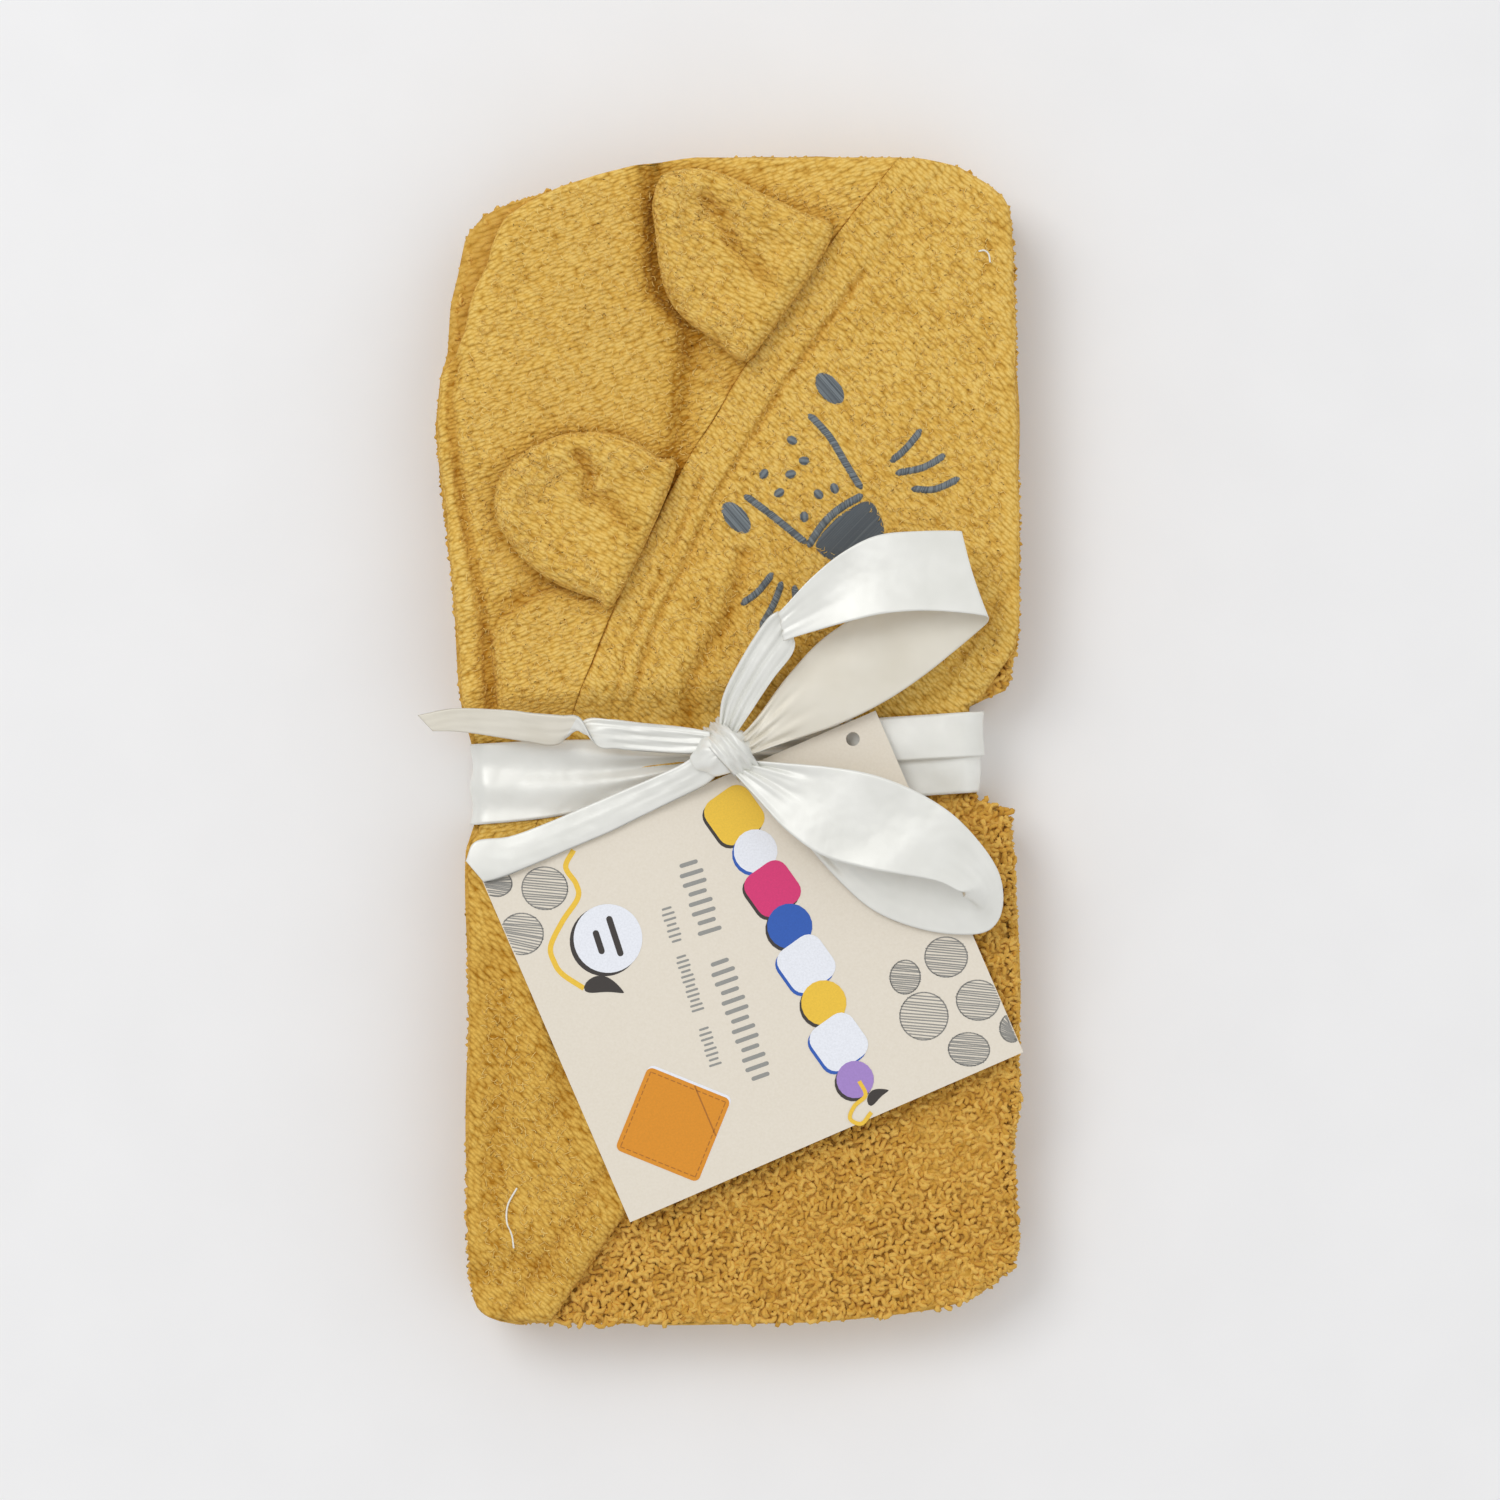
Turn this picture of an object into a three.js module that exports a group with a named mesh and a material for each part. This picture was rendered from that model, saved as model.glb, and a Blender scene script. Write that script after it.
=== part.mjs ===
// Hooded baby towel, folded flat, tied with a satin ribbon bow that holds a card tag.
// Millimetres. +X across the bundle, +Y along it towards the hood's crown, +Z up from the floor.
import * as THREE from "three";

// Folded bundle
const FOLDED_LENGTH = 375;
const FOLDED_WIDTH = 178;
const LEAF_THICKNESS = 7; // one leaf is two layers of towelling
const LEAF_COUNT = 4;
const LEAF_GAP = 0.5;
const CLEARANCE = 0.3; // between pieces that touch on the real towel

// Hood
const PANEL_THICKNESS = 5;
const PANEL_SQUEEZE = 1.5; // thickness that a panel loses under the ribbon
const PANEL_EDGE = 3; // width of the rounded rim of a panel
const PANEL_RIM = 1.6; // thickness left at that rim
const SEAM_FOOT_X = -57; // the ear seam, where it meets y = 0
const SEAM_SLOPE = 0.5775;
const SEAM_BOW = 12;
const SEAM_GAP = 0.4;
const CROWN_TOP_INSET = 6.5;
const CROWN_FOOT_Y = -38;
const FACE_TOP_INSET = 3.5;
const OPENING_RIGHT_Y = 28.8; // where the hemmed opening meets the right side
const OPENING_SLOPE = 0.69;
const PANEL_SIDE_INSET = 1.2;

// Ears
const EAR_LENGTH = 50;
const EAR_BASE = 42;
const EAR_WIDTH = 52;
const EAR_LEAN = 0.26; // sideways lean for each millimetre away from the seam
const EAR_LAYER = 4;
const EAR_ROUNDING = 1.2;
const EAR_SEAM_OFFSET = 0.8;
const EAR_PLACES = { ear_left: 64.5, ear_right: 142 }; // heights along Y on the seam

// Face embroidery
const FACE_CENTRE = [13, 92]; // midway between the eyes
const FACE_TURN = 54.1; // degrees from +X to the line through the eyes
const STITCH_HEIGHT = 0.8;
const STITCH_WIDTH = 2;
const WHISKER_WIDTH = 1.6;
const EYE_SPACING = 51;
const EYE_LENGTH = 12.6;
const EYE_WIDTH = 6.6;
const EYE_TURN = -13;
const FRECKLE_LENGTH = 3;
const FRECKLE_WIDTH = 2;
const NOSE_MARGIN = 0.4;

// Ribbon
const RIBBON_WIDTH = 26;
const RIBBON_THICKNESS = 0.6;
const BAND_Y = -8.7;
const BAND_SLOPE = 0.065; // the band climbs a little from left to right
const BAND_CORNER = 3;
const WAIST_DROP = 4;
const WAIST_LIFT = 1.3;
const WAIST_LEFT = 3.4;
const WAIST_RIGHT = 12;
const WAIST_MARGIN = 3; // flat waist beyond each edge of the band
const WAIST_SHOULDER = 14;
const KNOT = [-6.4, -3.4];
const KNOT_RADIUS = 9.5;
const KNOT_FOOT = 5;
const KNOT_FLATNESS = 0.8;
const BOW_THICKNESS = 0.9;
const LOOPS = {
  ribbon_loop_upper: { length: 100, height: 20, turn: 33.5 },
  ribbon_loop_lower: { length: 101, height: 17, turn: -27 },
};
const TAILS = {
  ribbon_tail_upper: { length: 99, width: 20, tilt: 50, turn: 173.5 },
  ribbon_tail_lower: { length: 86, width: 17, tilt: 10, turn: 203.5 },
};
const LOOP_ROOT_WIDTH = 9;
const TAIL_ROOT_WIDTH = 4.6;
const BOW_GAP = 1; // from the knot to the root of a loop or tail

// Card tag
const TAG_WIDTH = 137;
const TAG_LENGTH = 119;
const TAG_THICKNESS = 0.6;
const TAG_TURN = 23.4; // degrees from +X to its top edge
const TAG_CENTRE = [3.5, -72.4];
const TAG_HOLE = [35.5, 0.3];
const TAG_HOLE_RADIUS = 2.2;

const HALF_LENGTH = FOLDED_LENGTH / 2;
const HALF_WIDTH = FOLDED_WIDTH / 2;
const BODY_HEIGHT = LEAF_COUNT * LEAF_THICKNESS + (LEAF_COUNT - 1) * LEAF_GAP;
const PANEL_TOP = BODY_HEIGHT + CLEARANCE + PANEL_THICKNESS;
const WAIST_TOP = PANEL_TOP - WAIST_DROP - PANEL_SQUEEZE;
const FACE_SURFACE = PANEL_TOP + CLEARANCE;
const EAR_AXIS_Z = FACE_SURFACE + EAR_LAYER + CLEARANCE / 2;
const BOW_FLOOR = FACE_SURFACE + TAG_THICKNESS + 2 * CLEARANCE;

// Side outline of the bundle: share of the half length, then how far the left and the right side
// stand outside the half width.
const OUTLINE = [
  [1, -87, -37],
  [0.982, -59, -19],
  [0.945, -31, -7],
  [0.905, -9, -2.6],
  [0.83, 0.3, -1.5],
  [0.75, 4.5, -1],
  [0.63, 7.5, -0.7],
  [0.53, 9.5, -0.2],
  [0.32, 5.5, 0.5],
  [0.15, 2.5, -0.5],
  [0.05, 1, -1.5],
  [-0.21, -0.5, -1.6],
  [-0.44, -0.5, 0.3],
  [-0.69, -0.2, -1],
  [-0.85, -0.2, 0.3],
  [-0.92, -1.3, -4],
  [-0.96, -3, -15],
  [-0.985, -8, -44],
  [-1, -17, -119],
];

const materials = {
  velour: new THREE.MeshStandardMaterial({ color: 0xdcb055, roughness: 0.95, metalness: 0 }),
  terry: new THREE.MeshStandardMaterial({ color: 0xcfa24a, roughness: 1, metalness: 0 }),
  thread: new THREE.MeshStandardMaterial({ color: 0x69737a, roughness: 0.5, metalness: 0 }),
  satin: new THREE.MeshStandardMaterial({ color: 0xf0f0ea, roughness: 0.35, metalness: 0 }),
  card: new THREE.MeshStandardMaterial({ color: 0xe6ddcd, roughness: 0.8, metalness: 0 }),
};

function namedMesh(name, geometry, material) {
  const mesh = new THREE.Mesh(geometry, material);
  mesh.name = name;
  return mesh;
}

function lerp(a, b, t) {
  return a + (b - a) * t;
}

function smoothStep(t) {
  const s = Math.min(1, Math.max(0, t));
  return s * s * (3 - 2 * s);
}

// Left (column 1) or right (column 2) side of the bundle at height y.
function sideOffset(y, column) {
  const share = Math.min(1, Math.max(-1, y / HALF_LENGTH));
  for (let i = 1; i < OUTLINE.length; i++) {
    const [above, below] = [OUTLINE[i - 1], OUTLINE[i]];
    if (share >= below[0]) {
      return lerp(above[column], below[column], (above[0] - share) / (above[0] - below[0]));
    }
  }
  return OUTLINE.at(-1)[column];
}

function bandCentreY(x) {
  return BAND_Y + BAND_SLOPE * x;
}

// 1 under the band, falling to 0 beyond the shoulders of the waist.
function pinch(x, y) {
  const away = Math.abs(y - bandCentreY(x)) - RIBBON_WIDTH / 2 - WAIST_MARGIN;
  return 1 - smoothStep(away / WAIST_SHOULDER);
}

function leftSide(y) {
  const x = -HALF_WIDTH - sideOffset(y, 1);
  return x + WAIST_LEFT * pinch(x, y);
}

function rightSide(y) {
  const x = HALF_WIDTH + sideOffset(y, 2);
  return x - WAIST_RIGHT * pinch(x, y);
}

function bodyTop(x, y) {
  return BODY_HEIGHT - WAIST_DROP * pinch(x, y);
}

// Heights along Y from top to bottom, closer together around the waist.
function rowHeights(top, bottom, step) {
  const heights = [top, bottom];
  const waist = RIBBON_WIDTH / 2 + WAIST_MARGIN + WAIST_SHOULDER + BAND_SLOPE * HALF_WIDTH;
  for (let y = top - step; y > bottom + 1; y -= step) {
    if (Math.abs(y - BAND_Y) > waist) heights.push(y);
  }
  for (let y = BAND_Y - waist; y <= BAND_Y + waist; y += 3) {
    if (y < top - 1 && y > bottom + 1) heights.push(y);
  }
  return heights.sort((a, b) => b - a);
}

// A closed solid from rings of points: every ring has the same number of points, and the first and
// the last ring are closed by triangulated caps, unless the rings join up end to end.
function solidFromRings(rings, joined = false) {
  const count = rings[0].length;
  const positions = rings.flat(2);
  const index = [];
  const steps = joined ? rings.length : rings.length - 1;
  for (let i = 0; i < steps; i++) {
    const next = (i + 1) % rings.length;
    for (let j = 0; j < count; j++) {
      const a = i * count + j;
      const b = i * count + ((j + 1) % count);
      const c = next * count + ((j + 1) % count);
      const d = next * count + j;
      index.push(a, b, c, a, c, d);
    }
  }
  if (!joined) {
    const last = (rings.length - 1) * count;
    for (const [i, j, k] of capFaces(rings[0])) index.push(k, j, i);
    for (const [i, j, k] of capFaces(rings.at(-1))) index.push(last + i, last + j, last + k);
  }
  return facingOut(positions, index);
}

// Triangles across a flat ring, wound the way the ring is.
function capFaces(ring) {
  const spans = [0, 1, 2].map((axis) => {
    const values = ring.map((point) => point[axis]);
    return Math.max(...values) - Math.min(...values);
  });
  const flat = spans.indexOf(Math.min(...spans));
  const [u, v] = [0, 1, 2].filter((axis) => axis !== flat);
  const contour = ring.map((point) => new THREE.Vector2(point[u], point[v]));
  const faces = THREE.ShapeUtils.triangulateShape(contour, []);
  return THREE.ShapeUtils.isClockWise(contour) ? faces.map((face) => face.reverse()) : faces;
}

// Turns every face round when the enclosed volume comes out negative.
function facingOut(positions, index) {
  let volume = 0;
  const corner = (i) => new THREE.Vector3().fromArray(positions, 3 * i);
  for (let i = 0; i < index.length; i += 3) {
    volume += corner(index[i]).dot(corner(index[i + 1]).cross(corner(index[i + 2])));
  }
  if (volume < 0) index.reverse();
  const geometry = new THREE.BufferGeometry();
  geometry.setAttribute("position", new THREE.Float32BufferAttribute(positions, 3));
  geometry.setIndex(index);
  return geometry;
}

// Section of the folded leaves across the bundle, as shares of its width and height: a strip that
// runs to and fro, with a round turn at each fold and round free edges.
function foldedSection() {
  const half = LEAF_THICKNESS / 2;
  const pitch = LEAF_THICKNESS + LEAF_GAP;
  const [left, right] = [-HALF_WIDTH + pitch / 2 + half, HALF_WIDTH - pitch / 2 - half];
  const topZ = half + (LEAF_COUNT - 1) * pitch;
  const wide = pitch / 2 + half;
  const narrow = pitch / 2 - half;
  const [below, above] = [[], []];
  for (let fold = 0; fold < LEAF_COUNT - 1; fold++) {
    const z = half + (fold + 0.5) * pitch;
    if (fold % 2 === 0) {
      below.push(...arcPoints(right, z, wide, -0.5, 0.5, 8));
      above.push(...arcPoints(right, z, narrow, -0.5, 0.5, 3));
    } else {
      below.push(...arcPoints(left, z, narrow, 1.5, 0.5, 3));
      above.push(...arcPoints(left, z, wide, 1.5, 0.5, 8));
    }
  }
  const firstEdge = arcPoints(-HALF_WIDTH + half, half, half, 0.5, 1.5, 6);
  const lastEdge = arcPoints(-HALF_WIDTH + half, topZ, half, 0.5, 1.5, 6);
  const topRun = Array.from({ length: 13 }, (_, i) => [lerp(right, left, (i + 1) / 14), topZ + half]);
  const outline = [...firstEdge, ...below, ...topRun, ...lastEdge, ...above.reverse()];
  return outline.map(([x, z]) => [(x + HALF_WIDTH) / FOLDED_WIDTH, z / BODY_HEIGHT]);
}

// Points on an arc whose ends are given in half turns.
function arcPoints(x, z, radius, from, to, steps) {
  return Array.from({ length: steps + 1 }, (_, i) => {
    const angle = Math.PI * lerp(from, to, i / steps);
    return [x + radius * Math.cos(angle), z + radius * Math.sin(angle)];
  });
}

function towelBody() {
  const section = foldedSection();
  const rings = rowHeights(HALF_LENGTH, -HALF_LENGTH, 13).map((y) => {
    const [left, right] = [leftSide(y), rightSide(y)];
    return section.map(([u, v]) => {
      const x = lerp(left, right, u);
      const lift = WAIST_LIFT * pinch(x, y);
      return [x, y, lerp(lift, bodyTop(x, y), v)];
    });
  });
  return namedMesh("towel_body", solidFromRings(rings), materials.terry);
}

// Ear seam: a line that bows to the left between the bundle's middle and its top edge.
function seamX(y) {
  const share = y / HALF_LENGTH;
  const bow = share > 0 ? share * (1 - share) : share;
  return SEAM_FOOT_X + SEAM_SLOPE * y - 4 * SEAM_BOW * bow;
}

function openingX(y) {
  return rightSide(OPENING_RIGHT_Y) - PANEL_SIDE_INSET + OPENING_SLOPE * (y - OPENING_RIGHT_Y);
}

// A hood panel: for each height one row from its left to its right edge, following the body's top,
// thick in the middle and thin at the rim.
function hoodPanel(name, heights, leftOf, rightOf) {
  const last = heights.length - 1;
  const rings = heights.map((y, row) => {
    const [left, right] = [leftOf(y), rightOf(y)];
    const rim = Math.min(PANEL_EDGE, (right - left) / 3);
    const inside = Array.from({ length: 9 }, (_, i) => lerp(left + rim, right - rim, i / 8));
    const stops = [left, ...inside, right];
    const endRow = row === 0 || row === last;
    const low = stops.map((x) => [x, y, bodyTop(x, y) + CLEARANCE]);
    const high = stops.map((x, i) => {
      const thin = endRow || i === 0 || i === stops.length - 1;
      const squeezed = PANEL_THICKNESS - PANEL_SQUEEZE * pinch(x, y);
      return [x, y, bodyTop(x, y) + CLEARANCE + (thin ? PANEL_RIM : squeezed)];
    });
    return [...low, ...high.reverse()];
  });
  return namedMesh(name, solidFromRings(rings), materials.velour);
}

function crownPanel() {
  const top = HALF_LENGTH - CROWN_TOP_INSET;
  const heights = rowHeights(top, CROWN_FOOT_Y, 9);
  heights.splice(1, 0, top - PANEL_EDGE);
  heights.splice(-1, 0, CROWN_FOOT_Y + PANEL_EDGE / 2);
  const inset = (y) => PANEL_SIDE_INSET + 7 * smoothStep((y - 0.58 * HALF_LENGTH) / 55);
  const left = (y) => leftSide(y) + inset(y);
  const right = (y) => seamX(y) - SEAM_GAP / 2;
  return hoodPanel("hood_crown_panel", heights, left, right);
}

function facePanel() {
  const top = HALF_LENGTH - FACE_TOP_INSET;
  const bottom = -HALF_LENGTH + 1;
  const shoulder = CROWN_FOOT_Y - CLEARANCE;
  const heights = rowHeights(top, bottom, 9).filter((y) => Math.abs(y - shoulder) > 1.5);
  heights.push(shoulder, shoulder - CLEARANCE, top - PANEL_EDGE, bottom + 2, bottom + 5);
  heights.sort((a, b) => b - a);
  const leftRim = (y) => leftSide(y) + PANEL_SIDE_INSET;
  const left = (y) => (y >= shoulder ? seamX(y) + SEAM_GAP / 2 : leftRim(y));
  const right = (y) => Math.min(rightSide(y) - PANEL_SIDE_INSET, openingX(y));
  return hoodPanel("hood_face_panel", heights, left, right);
}

// Outline of an ear: x along its base seam, y away from the seam.
function earShape() {
  const [base, wide, long] = [EAR_BASE / 2, EAR_WIDTH / 2, EAR_LENGTH];
  const shape = new THREE.Shape();
  shape.moveTo(-base, 0);
  shape.lineTo(base, 0);
  shape.bezierCurveTo(base + 2, 0.2 * long, wide, 0.35 * long, wide, 0.55 * long);
  shape.bezierCurveTo(wide, 0.85 * long, 0.6 * wide, long, 0, long);
  shape.bezierCurveTo(-0.6 * wide, long, -wide, 0.85 * long, -wide, 0.55 * long);
  shape.bezierCurveTo(-wide, 0.35 * long, -base - 2, 0.2 * long, -base, 0);
  return shape;
}

function earLayer(name, level) {
  const geometry = new THREE.ExtrudeGeometry(earShape(), {
    depth: EAR_LAYER - 2 * EAR_ROUNDING,
    bevelEnabled: true,
    bevelThickness: EAR_ROUNDING,
    bevelSize: EAR_ROUNDING,
    bevelOffset: -EAR_ROUNDING,
    bevelSegments: 2,
    curveSegments: 7,
  });
  const lean = new THREE.Matrix4().set(1, -EAR_LEAN, 0, 0, 0, 1, 0, 0, 0, 0, 1, 0, 0, 0, 0, 1);
  geometry.applyMatrix4(lean);
  geometry.translate(0, EAR_SEAM_OFFSET, level + EAR_ROUNDING);
  return namedMesh(name, geometry, materials.velour);
}

// The two towelling layers of one ear, lying to the left of the seam.
function ear(name) {
  const y = EAR_PLACES[name];
  const step = EAR_BASE / 2;
  const group = new THREE.Group();
  group.add(earLayer(`${name}_back`, -EAR_LAYER - CLEARANCE / 2));
  group.add(earLayer(`${name}_front`, CLEARANCE / 2));
  group.position.set(seamX(y), y, EAR_AXIS_Z);
  group.rotation.z = Math.atan2(2 * step, seamX(y + step) - seamX(y - step));
  return group;
}

// A flat stroke of stitching along a smooth line through the given points.
function strokeShape(points, width) {
  const line = new THREE.SplineCurve(points.map(([x, y]) => new THREE.Vector2(x, y)));
  const steps = 3 * points.length;
  const sides = [[], []];
  for (let i = 0; i <= steps; i++) {
    const at = line.getPoint(i / steps);
    const along = line.getTangent(i / steps);
    const half = (width / 2) * (i === 0 || i === steps ? 0.5 : 1);
    sides[0].push(new THREE.Vector2(at.x - along.y * half, at.y + along.x * half));
    sides[1].push(new THREE.Vector2(at.x + along.y * half, at.y - along.x * half));
  }
  return new THREE.Shape([...sides[0], ...sides[1].reverse()]);
}

function ellipseShape(length, width) {
  return new THREE.Shape().absellipse(0, 0, length / 2, width / 2, 0, 2 * Math.PI);
}

function stitched(name, shape, place = [0, 0], turn = 0) {
  const geometry = new THREE.ExtrudeGeometry(shape, {
    depth: STITCH_HEIGHT,
    bevelEnabled: false,
    curveSegments: 8,
  });
  const mesh = namedMesh(name, geometry, materials.thread);
  mesh.position.set(place[0], place[1], 0);
  mesh.rotation.z = THREE.MathUtils.degToRad(turn);
  return mesh;
}

// The face, drawn with +X towards its right eye and -Y towards its nose.
function embroidery() {
  const face = new THREE.Group();
  const eyes = { eye_left: -1, eye_right: 1 };
  for (const [name, side] of Object.entries(eyes)) {
    const place = [(side * EYE_SPACING) / 2, 0];
    face.add(stitched(name, ellipseShape(EYE_LENGTH, EYE_WIDTH), place, EYE_TURN - 90));
  }
  const lines = {
    muzzle_line_right: [[15, 0.5], [13, -9], [9, -18.5], [5.5, -26]],
    muzzle_line_left: [[-18, 2], [-18.3, -8], [-18.7, -21.5]],
  };
  for (const [name, points] of Object.entries(lines)) {
    face.add(stitched(name, strokeShape(points, STITCH_WIDTH)));
  }
  const whiskers = {
    whisker_right_1: [[18, -29.5], [24, -31], [32, -31.5]],
    whisker_right_2: [[16, -33], [22.5, -39], [30, -42.5]],
    whisker_right_3: [[15, -40], [19, -46], [26.5, -50.5]],
    whisker_left_1: [[-33, -20], [-41, -19.5], [-47, -17.5]],
    whisker_left_2: [[-33.5, -24], [-41, -26], [-49.5, -27]],
    whisker_left_3: [[-32, -28], [-38, -32.5], [-45, -35.5]],
  };
  for (const [name, points] of Object.entries(whiskers)) {
    face.add(stitched(name, strokeShape(points, WHISKER_WIDTH)));
  }
  const freckles = [[-9, 1], [-11, -6.5], [-4, -6], [2, -7], [5, 0], [-4, -17], [0.5, -20], [-12.5, -17.5]];
  freckles.forEach((place, i) => {
    const shape = ellipseShape(FRECKLE_LENGTH, FRECKLE_WIDTH);
    face.add(stitched(`freckle_${i + 1}`, shape, place, 20 * i));
  });
  face.add(...nose());
  face.position.set(FACE_CENTRE[0], FACE_CENTRE[1], FACE_SURFACE);
  face.rotation.z = THREE.MathUtils.degToRad(FACE_TURN);
  return face;
}

// The nose pad with a raised outline along its upper edge.
function nose() {
  const brow = [[-19.5, -24], [-10, -23.6], [-3, -25.3], [4.2, -28.8]];
  const inside = STITCH_WIDTH / 2 + NOSE_MARGIN;
  const pad = new THREE.Shape();
  pad.moveTo(brow[0][0] + 1, brow[0][1] - inside);
  pad.splineThru(brow.slice(1).map(([x, y]) => new THREE.Vector2(x, y - inside)));
  pad.quadraticCurveTo(4.5, -38, -2, -42);
  pad.quadraticCurveTo(-12, -41, -19.3, -33);
  return [stitched("nose_outline", strokeShape(brow, STITCH_WIDTH)), stitched("nose_pad", pad)];
}

// The ribbon round the bundle's waist.
function ribbonBand() {
  const reach = RIBBON_WIDTH / 2;
  const around = [-reach, 0, reach].map((dy) => [
    leftSide(bandCentreY(-HALF_WIDTH) + dy),
    rightSide(bandCentreY(HALF_WIDTH) + dy),
  ]);
  const left = Math.min(...around.map((pair) => pair[0])) - CLEARANCE;
  const right = Math.max(...around.map((pair) => pair[1])) + CLEARANCE;
  const low = WAIST_LIFT - CLEARANCE;
  const high = WAIST_TOP + CLEARANCE;
  const hole = roundedRectangle(left, low, right, high, BAND_CORNER);
  const t = RIBBON_THICKNESS;
  const shape = roundedRectangle(left - t, low - t, right + t, high + t, BAND_CORNER + t);
  shape.holes.push(hole);
  const geometry = new THREE.ExtrudeGeometry(shape, {
    depth: RIBBON_WIDTH,
    bevelEnabled: false,
    curveSegments: 4,
  });
  geometry.translate(0, 0, -RIBBON_WIDTH / 2);
  geometry.rotateX(Math.PI / 2);
  const climb = new THREE.Matrix4().set(1, 0, 0, 0, BAND_SLOPE, 1, 0, BAND_Y, 0, 0, 1, 0, 0, 0, 0, 1);
  geometry.applyMatrix4(climb);
  return namedMesh("ribbon_band", geometry, materials.satin);
}

function roundedRectangle(x0, y0, x1, y1, radius) {
  const shape = new THREE.Shape();
  shape.absarc(x1 - radius, y1 - radius, radius, 0, Math.PI / 2);
  shape.absarc(x0 + radius, y1 - radius, radius, Math.PI / 2, Math.PI);
  shape.absarc(x0 + radius, y0 + radius, radius, Math.PI, 1.5 * Math.PI);
  shape.absarc(x1 - radius, y0 + radius, radius, 1.5 * Math.PI, 2 * Math.PI);
  return shape;
}

// The knot: a slim foot on the band between the tag's edge and the hood, and a round head.
function ribbonKnot() {
  const foot = WAIST_TOP + 2 * CLEARANCE + RIBBON_THICKNESS;
  const head = BOW_FLOOR + 1;
  const r = KNOT_RADIUS;
  const profile = [
    [0, foot], [KNOT_FOOT, foot], [KNOT_FOOT, head], [0.85 * r, head + 0.3 * r], [r, head + 0.7 * r],
    [0.85 * r, head + 1.15 * r], [0.4 * r, head + 1.4 * r], [0, head + 1.45 * r],
  ];
  const points = profile.map(([x, z]) => new THREE.Vector2(x, z));
  const geometry = new THREE.LatheGeometry(points, 20);
  geometry.rotateX(Math.PI / 2);
  geometry.scale(1, KNOT_FLATNESS, 1);
  const mesh = namedMesh("ribbon_knot", geometry, materials.satin);
  mesh.position.set(KNOT[0], KNOT[1], 0);
  return mesh;
}

// Points of a ribbon strip: one ring of four corners for each stop along its centre line. A stop is
// [distance from the knot, height, width, tilt in degrees].
function ribbonRings(stops, normals) {
  const half = BOW_THICKNESS / 2;
  return stops.map(([along, up, width, tilt], i) => {
    const [nx, nz] = normals[i];
    const lean = THREE.MathUtils.degToRad(tilt);
    const corner = (side, face) => {
      const across = (side * width * Math.cos(lean)) / 2;
      const rise = (side * width * Math.sin(lean)) / 2;
      return [
        along + face * half * nx,
        across - face * half * nz * Math.sin(lean),
        up + rise + face * half * nz * Math.cos(lean),
      ];
    };
    return [corner(-1, -1), corner(1, -1), corner(1, 1), corner(-1, 1)];
  });
}

// A bow loop: the ribbon leaves the knot, rises, turns over at its far end and comes back below.
function bowLoop(name, { length, height, turn }) {
  const steps = 26;
  const centre = BOW_FLOOR + BOW_THICKNESS + height / 2;
  const start = KNOT_RADIUS + BOW_GAP;
  const stops = [];
  const normals = [];
  for (let i = 0; i < steps; i++) {
    const angle = Math.PI + ((i + 0.5) * 2 * Math.PI) / steps;
    const along = (1 + Math.cos(angle)) / 2;
    const open = 0.25 + 0.75 * smoothStep(along * 2.2);
    const rise = (height / 2) * Math.sin(angle) * open;
    const width = lerp(LOOP_ROOT_WIDTH, RIBBON_WIDTH - 2, smoothStep(along * 2.2));
    stops.push([start + along * (length - start), centre + rise, width, 0]);
    const [dx, dz] = [Math.cos(angle) * height, Math.sin(angle) * length];
    const size = Math.hypot(dx, dz);
    normals.push([dx / size, dz / size]);
  }
  const mesh = namedMesh(name, solidFromRings(ribbonRings(stops, normals), true), materials.satin);
  placeAtKnot(mesh, turn);
  return mesh;
}

// A ribbon tail with a slanted cut end.
function bowTail(name, { length, width, tilt, turn }) {
  const steps = 9;
  const start = KNOT_RADIUS + BOW_GAP;
  const stops = [];
  for (let i = 0; i <= steps; i++) {
    const share = i / steps;
    const grown = smoothStep(share * 3);
    const wide = lerp(TAIL_ROOT_WIDTH, width, grown);
    const lean = tilt * grown;
    const rise = (wide / 2) * Math.sin(THREE.MathUtils.degToRad(lean));
    const up = BOW_FLOOR + BOW_THICKNESS + rise;
    stops.push([lerp(start, length, share), up, wide, lean]);
  }
  const rings = ribbonRings(stops, stops.map(() => [0, 1]));
  rings.at(-1)[0][0] -= width / 3;
  rings.at(-1)[3][0] -= width / 3;
  const mesh = namedMesh(name, solidFromRings(rings), materials.satin);
  placeAtKnot(mesh, turn);
  return mesh;
}

function placeAtKnot(mesh, turn) {
  mesh.position.set(KNOT[0], KNOT[1], 0);
  mesh.rotation.z = THREE.MathUtils.degToRad(turn);
}

function bow() {
  const group = new THREE.Group();
  group.add(ribbonBand(), ribbonKnot());
  for (const [name, sizes] of Object.entries(LOOPS)) group.add(bowLoop(name, sizes));
  for (const [name, sizes] of Object.entries(TAILS)) group.add(bowTail(name, sizes));
  return group;
}

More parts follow.
